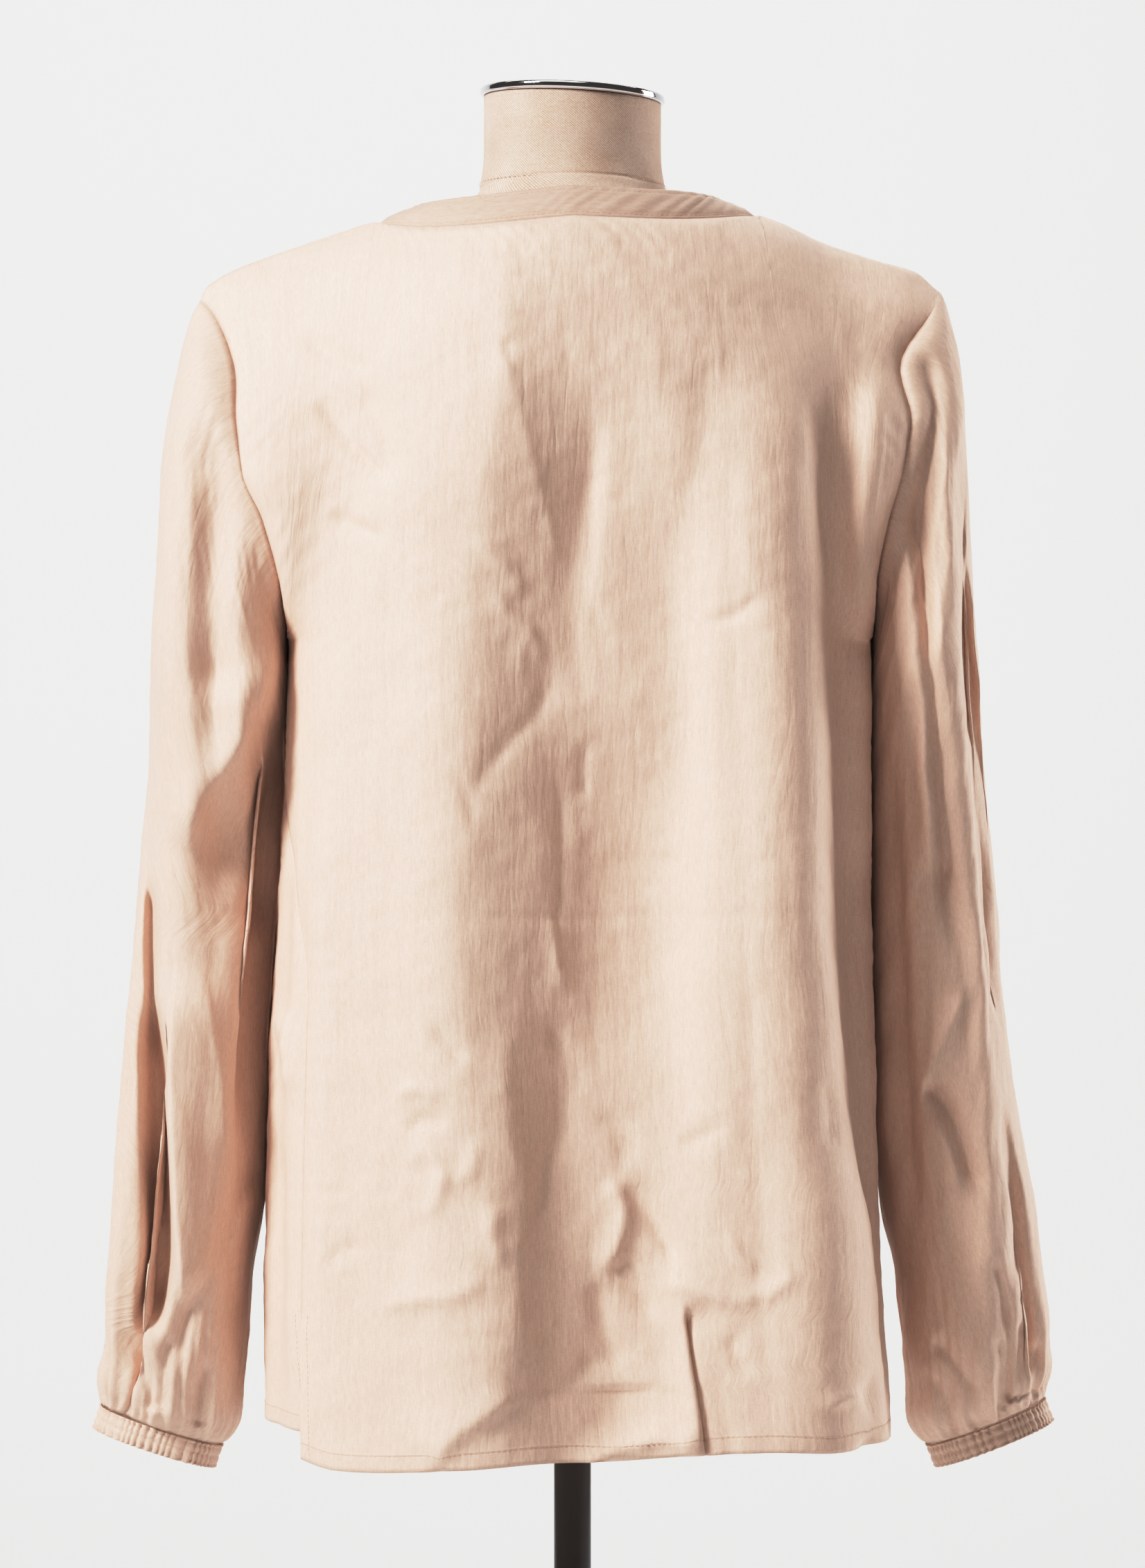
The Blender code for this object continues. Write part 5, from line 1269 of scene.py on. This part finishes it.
# pieces that share a seam dip together there
push["back"][0], push["front"][0] = -drape["seamDip"], -drape["seamDip"]
push["band"][0] = -drape["seamDip"]
for name in ("left", "right"):
    end = 0 if name == "left" else -1
    push[name][0] = -drape["seamDip"]
    push["back"][: cut["upperRows"] + 1, end] = -drape["seamDip"]
    push["front"][: cut["upperRows"] + 1, end] = -drape["seamDip"]
worn = {name: grids[name] + normals[name] * push[name][..., None] for name in grids}
for name in drawn:      # the sleeves' creases are sunk straight in from the back and the front
    worn[name][..., 1] += drawn[name]
for side in ("left", "right"):
    worn[side + "Cuff"] = cuffGrid(side)
    normals[side + "Cuff"] = gridNormals(worn[side + "Cuff"], True)
rings |= {"leftCuff", "rightCuff"}
wornNormals = {name: gridNormals(grid, name in rings) for name, grid in worn.items()}
print("creases laid, deepest %.1f mm" % (min(float(p.min()) for p in push.values()) * 1000))

# grid, material, wall, the node it stands for, what it rests on
clothPieces = {
    "backPanel": ("back", panelCloth, drape["wall"], "back_panel", ["form_body"]),
    "frontPanel": ("front", panelCloth, drape["wall"], "front_panel", ["form_body"]),
    "leftSleeve": ("left", shadedSleeveCloth, drape["wall"], "left_sleeve", ["backPanel", "frontPanel"]),
    "rightSleeve": ("right", shadedSleeveCloth, drape["wall"], "right_sleeve", ["backPanel", "frontPanel"]),
    "leftCuff": ("leftCuff", shadedSleeveCloth, cuffCut["wall"], "left_cuff", ["leftSleeve"]),
    "rightCuff": ("rightCuff", shadedSleeveCloth, cuffCut["wall"], "right_cuff", ["rightSleeve"]),
    "neckBand": ("band", bandClothGrainAndShade, bandCut["wall"], "neckband", ["backPanel", "frontPanel"]),
}
cloth = {}
for name, (at, material, wall, node, rests) in clothPieces.items():
    cloth[name] = clothPiece(name, worn[at], wornNormals[at], at in rings, material, wall, upwards=at != "band")
    finishPiece(cloth[name], "blouse_cloth", node)
print("cloth pieces made")

# sewing: rows of single stitches laid on the cloth
stitch = {
    "pitch": 0.0030, "length": 0.0021, "width": 0.00042, "height": 0.00030, "inFromHem": 0.0090, "inFromVent": 0.0070,
    "cuff": (0.0024, 0.0016), "formNeck": (0.0034, 0.0022), "formNeckRadius": 0.0529,      # pitch, length of these rows
}


# one stitch, rounded, a unit long, wide and high
def stitchShape():
    bm = bmesh.new()
    bmesh.ops.create_uvsphere(bm, u_segments=6, v_segments=4, radius=0.5, matrix=Matrix.Rotation(math.pi / 2, 4, "Y"))
    bm.verts.ensure_lookup_table()
    spots = np.array([vert.co[:] for vert in bm.verts])
    faces = [[vert.index for vert in f.verts] for f in bm.faces]
    bm.free()
    return spots, faces


# copies of the stitch laid end to end along a path of points
def stitchRow(path, outwards, closed=False, pitch=None, length=None):
    if closed:
        path, outwards = np.concatenate([path, path[:1]]), np.concatenate([outwards, outwards[:1]])
    pitch, length = pitch or stitch["pitch"], length or stitch["length"]
    far = np.concatenate([[0], np.cumsum(np.linalg.norm(np.diff(path, axis=0), axis=1))])
    count = int(far[-1] / pitch)
    at = (np.arange(count) + 0.5) * far[-1] / count

    def along(values, where):
        return np.stack([np.interp(where, far, values[:, a]) for a in range(3)], axis=1)

    here, ahead, out = along(path, at - length / 2), along(path, at + length / 2), unit(along(outwards, at))
    forward = unit(ahead - here)
    out = unit(out - forward * (out * forward).sum(axis=1, keepdims=True))
    sideways = np.cross(out, forward)
    middle = (here + ahead) / 2 + out * stitch["height"] * 0.25
    shape = oneStitch[0][None]
    laid = middle[:, None] + forward[:, None] * shape[..., 0:1] * length
    laid = laid + sideways[:, None] * shape[..., 1:2] * stitch["width"]
    laid = laid + out[:, None] * shape[..., 2:3] * stitch["height"]
    return laid.reshape(-1, 3)


def stitchPiece(name, rows, material):
    spots, (shape, faces) = np.concatenate(rows), oneStitch
    count = len(spots) // len(shape)
    every = [[corner + k * len(shape) for corner in f] for k in range(count) for f in faces]
    mesh = bpy.data.meshes.new(name)
    mesh.from_pydata(spots.tolist(), [], every)
    layer = mesh.uv_layers.new(name="cut")
    corner = np.zeros(len(mesh.loops), np.int32)
    mesh.loops.foreach_get("vertex_index", corner)
    layer.data.foreach_set("uv", spots[corner][:, (0, 2)].astype(np.float32).ravel())
    return placePiece(name, mesh, material)


oneStitch = stitchShape()


# the row of points at a distance up from the last row of a grid
def upFromEnd(name, distance):
    grid = worn[name]
    end = run(grid, 0)
    end = end[-1:] - end
    path, outwards = [], []
    for c in range(grid.shape[1]):
        order = np.argsort(end[:, c])
        path.append([np.interp(distance, end[order, c], grid[order, c, a]) for a in range(3)])
        outwards.append([np.interp(distance, end[order, c], wornNormals[name][order, c, a]) for a in range(3)])
    return np.array(path), np.array(outwards)


def hemStitches():
    rows = []
    for name in ("back", "front"):
        rows.append(stitchRow(*upFromEnd(name, stitch["inFromHem"])))
        low = cut["upperRows"] + cut["lowerRows"]
        for end in (0, -1):
            across = run(worn[name][low:, ::(1 if end == 0 else -1)], 1)
            column = int(np.argmin(np.abs(across[5] - stitch["inFromVent"])))
            column = column if end == 0 else worn[name].shape[1] - 1 - column
            rows.append(stitchRow(worn[name][low:, column], wornNormals[name][low:, column]))
    return rows


def neckbandStitches():
    picked = [int(round(q * bandCut["rows"])) for q in bandCut["stitchRows"]]
    return [stitchRow(worn["band"][row], wornNormals["band"][row], closed=True) for row in picked]


def cuffStitches():
    picked = [int(round(q * cuffCut["rows"])) for q in cuffCut["stitchRows"]]
    return [stitchRow(worn[side][row], wornNormals[side][row], True, *stitch["cuff"])
            for side in ("leftCuff", "rightCuff") for row in picked]


def formNeckStitches():
    turn = np.linspace(0, 2 * math.pi, 120, endpoint=False)
    radius = stitch["formNeckRadius"]
    height = form["seamHeight"] - 0.0012 + form["capDrop"] * radius * np.cos(turn) * 0.4
    ring = point(radius * np.cos(turn), radius * np.sin(turn) + form["neckForward"], height)
    return [stitchRow(ring, point(np.cos(turn), np.sin(turn), 0.3), True, *stitch["formNeck"])]


sewing = [
    stitchPiece("hemStitches", hemStitches(), threadCloth),
    stitchPiece("neckbandStitches", neckbandStitches(), threadCloth),
    stitchPiece("cuffStitches", cuffStitches(), threadCloth),
    stitchPiece("formNeckStitches", formNeckStitches(), tanTwill),
]
for piece in sewing:
    finishPiece(piece, "form_cover" if piece.name == "formNeckStitches" else "blouse_cloth")
print("sewing done:", sum(len(piece.data.polygons) for piece in sewing), "faces")


# what each piece of cloth was cut to, flat
def flatSize(name, closed=False):
    grid = worn[name]
    if closed:
        grid = np.concatenate([grid, grid[:, :1]], axis=1)
    width, length = run(grid, 1)[:, -1].max(), run(grid, 0)[-1].max()
    a = np.cross(grid[1:, :-1] - grid[:-1, :-1], grid[:-1, 1:] - grid[:-1, :-1])
    b = np.cross(grid[1:, :-1] - grid[1:, 1:], grid[:-1, 1:] - grid[1:, 1:])
    area = (np.linalg.norm(a, axis=2).sum() + np.linalg.norm(b, axis=2).sum()) / 2
    print("cut of %s: %.3f by %.3f m, %.4f m2" % (name, width, length, area))
    return width, length, area


for name, (at, _, _, _, rests) in clothPieces.items():
    width, length, area = flatSize(at, at in rings)


# floor, backdrop, lights and camera
studio = {
    "paper": (0.66, 0.66, 0.66), "floorGlow": (0.12, 0.115, 0.11), "wallGlow": (0.30, 0.30, 0.30),
    "halfWidth": 5.0, "near": -6.0, "bend": 2.4, "bendRadius": 1.2, "top": 5.0,
    # brightness and how bright it is shown
    "tone": (
        (0.10, 0.072), (0.275, 0.275), (0.42, 0.49), (0.578, 0.675),
        (0.76, 0.795), (0.95, 0.875), (1.2, 0.925), (2.0, 0.98),
    ),
    "world": 0.07, "worldColour": (1.0, 0.88, 0.78), "camera": (0.0, -2.9, 1.105), "lens": 78.86,
    # name, place, aimed at, width, height, watts, colour
    "lights": (
        ("keySoftbox", (-2.62, -1.90, 3.10), (0.0, 0.0, 1.10), 1.0, 1.4, 146.0, (1.0, 0.99, 0.975)),
        ("topSoftbox", (-0.3, -1.0, 3.4), (0.0, 0.0, 1.25), 1.6, 1.2, 12.0, (1.0, 0.99, 0.98)),
        ("sideSoftbox", (2.5, 0.9, 1.5), (0.2, 0.0, 1.1), 0.9, 1.8, 48.0, (1.0, 0.99, 0.98)),
        ("backdropLight", (0.0, 1.2, 3.6), (0.0, 3.6, 1.2), 3.5, 0.8, 30.0, (1.0, 1.0, 1.0)),
    ),
}


def buildSweep(bm):
    radius, bend = studio["bendRadius"], studio["bend"]
    path = [(studio["near"], 0.0), (bend, 0.0)]
    path += [(bend + radius * math.sin(a), radius * (1 - math.cos(a))) for a in np.linspace(0, math.pi / 2, 25)[1:]]
    path += [(bend + radius, studio["top"])]
    verts = [bm.verts.new((-studio["halfWidth"], y, z)) for y, z in path]
    edges = [bm.edges.new(pair) for pair in zip(verts, verts[1:])]
    made = bmesh.ops.extrude_edge_only(bm, edges=edges)["geom"]
    moved = [item for item in made if isinstance(item, bmesh.types.BMVert)]
    bmesh.ops.translate(bm, verts=moved, vec=(2 * studio["halfWidth"], 0, 0))
    bmesh.ops.recalc_face_normals(bm, faces=bm.faces[:])
    bm.faces.ensure_lookup_table()
    if bm.faces[0].normal.z < 0:
        bmesh.ops.reverse_faces(bm, faces=bm.faces[:])


paper, tree, shader = newMaterial(
    "studioPaper", **{"Roughness": 0.9, "Specular IOR Level": 0.1, "Emission Strength": 1.0}
)
mottle = noise(tree, stretched(tree, objectVector(tree), (0.8, 0.8, 0.8)), 2.0, 0.5)
grey = studio["paper"]
darker, lighter = tuple(v * 0.985 for v in grey), tuple(min(1.0, v * 1.015) for v in grey)
blendColours(tree, mottle, darker, lighter, shader.inputs["Base Color"])
parts = tree.nodes.new("ShaderNodeSeparateXYZ")
tree.links.new(objectVector(tree), parts.inputs[0])
onWall = softStep(tree, parts.outputs[2], -0.6, 0.5)
blendColours(tree, onWall, studio["floorGlow"], studio["wallGlow"], shader.inputs["Emission Color"])
sweep = meshPiece("studioSweep", buildSweep, paper)

for name, place, aim, width, height, watts, colour in studio["lights"]:
    lamp = bpy.data.lights.new(name, "AREA")
    lamp.shape, lamp.size, lamp.size_y, lamp.energy, lamp.color = "RECTANGLE", width, height, watts, colour
    light = bpy.data.objects.new(name, lamp)
    light.location = place
    light.rotation_euler = (Vector(aim) - Vector(place)).to_track_quat("-Z", "Y").to_euler()
    bpy.context.scene.collection.objects.link(light)

world = bpy.data.worlds.new("softRoom")
bpy.context.scene.world = world
world.use_nodes = True
world.node_tree.nodes["Background"].inputs["Color"].default_value = (*studio["worldColour"], 1)
world.node_tree.nodes["Background"].inputs["Strength"].default_value = studio["world"]
view = bpy.context.scene.view_settings
view.view_transform = "Standard"
view.use_curve_mapping = True
view.curve_mapping.clip_max_x, view.curve_mapping.clip_max_y = 2.0, 2.0
curve = view.curve_mapping.curves[3]
curve.points[1].location = studio["tone"][-1]
for brightness, shown in studio["tone"][:-1]:
    curve.points.new(brightness, shown)
view.curve_mapping.update()

lens = bpy.data.cameras.new("studioCamera")
lens.sensor_fit, lens.sensor_height, lens.lens = "VERTICAL", 24.0, studio["lens"]
lens.clip_end = 100
camera = bpy.data.objects.new("studioCamera", lens)
camera.location, camera.rotation_euler = studio["camera"], (math.pi / 2, 0, 0)
bpy.context.scene.collection.objects.link(camera)
bpy.context.scene.camera = camera

bpy.context.view_layer.update()
print("scene finished")
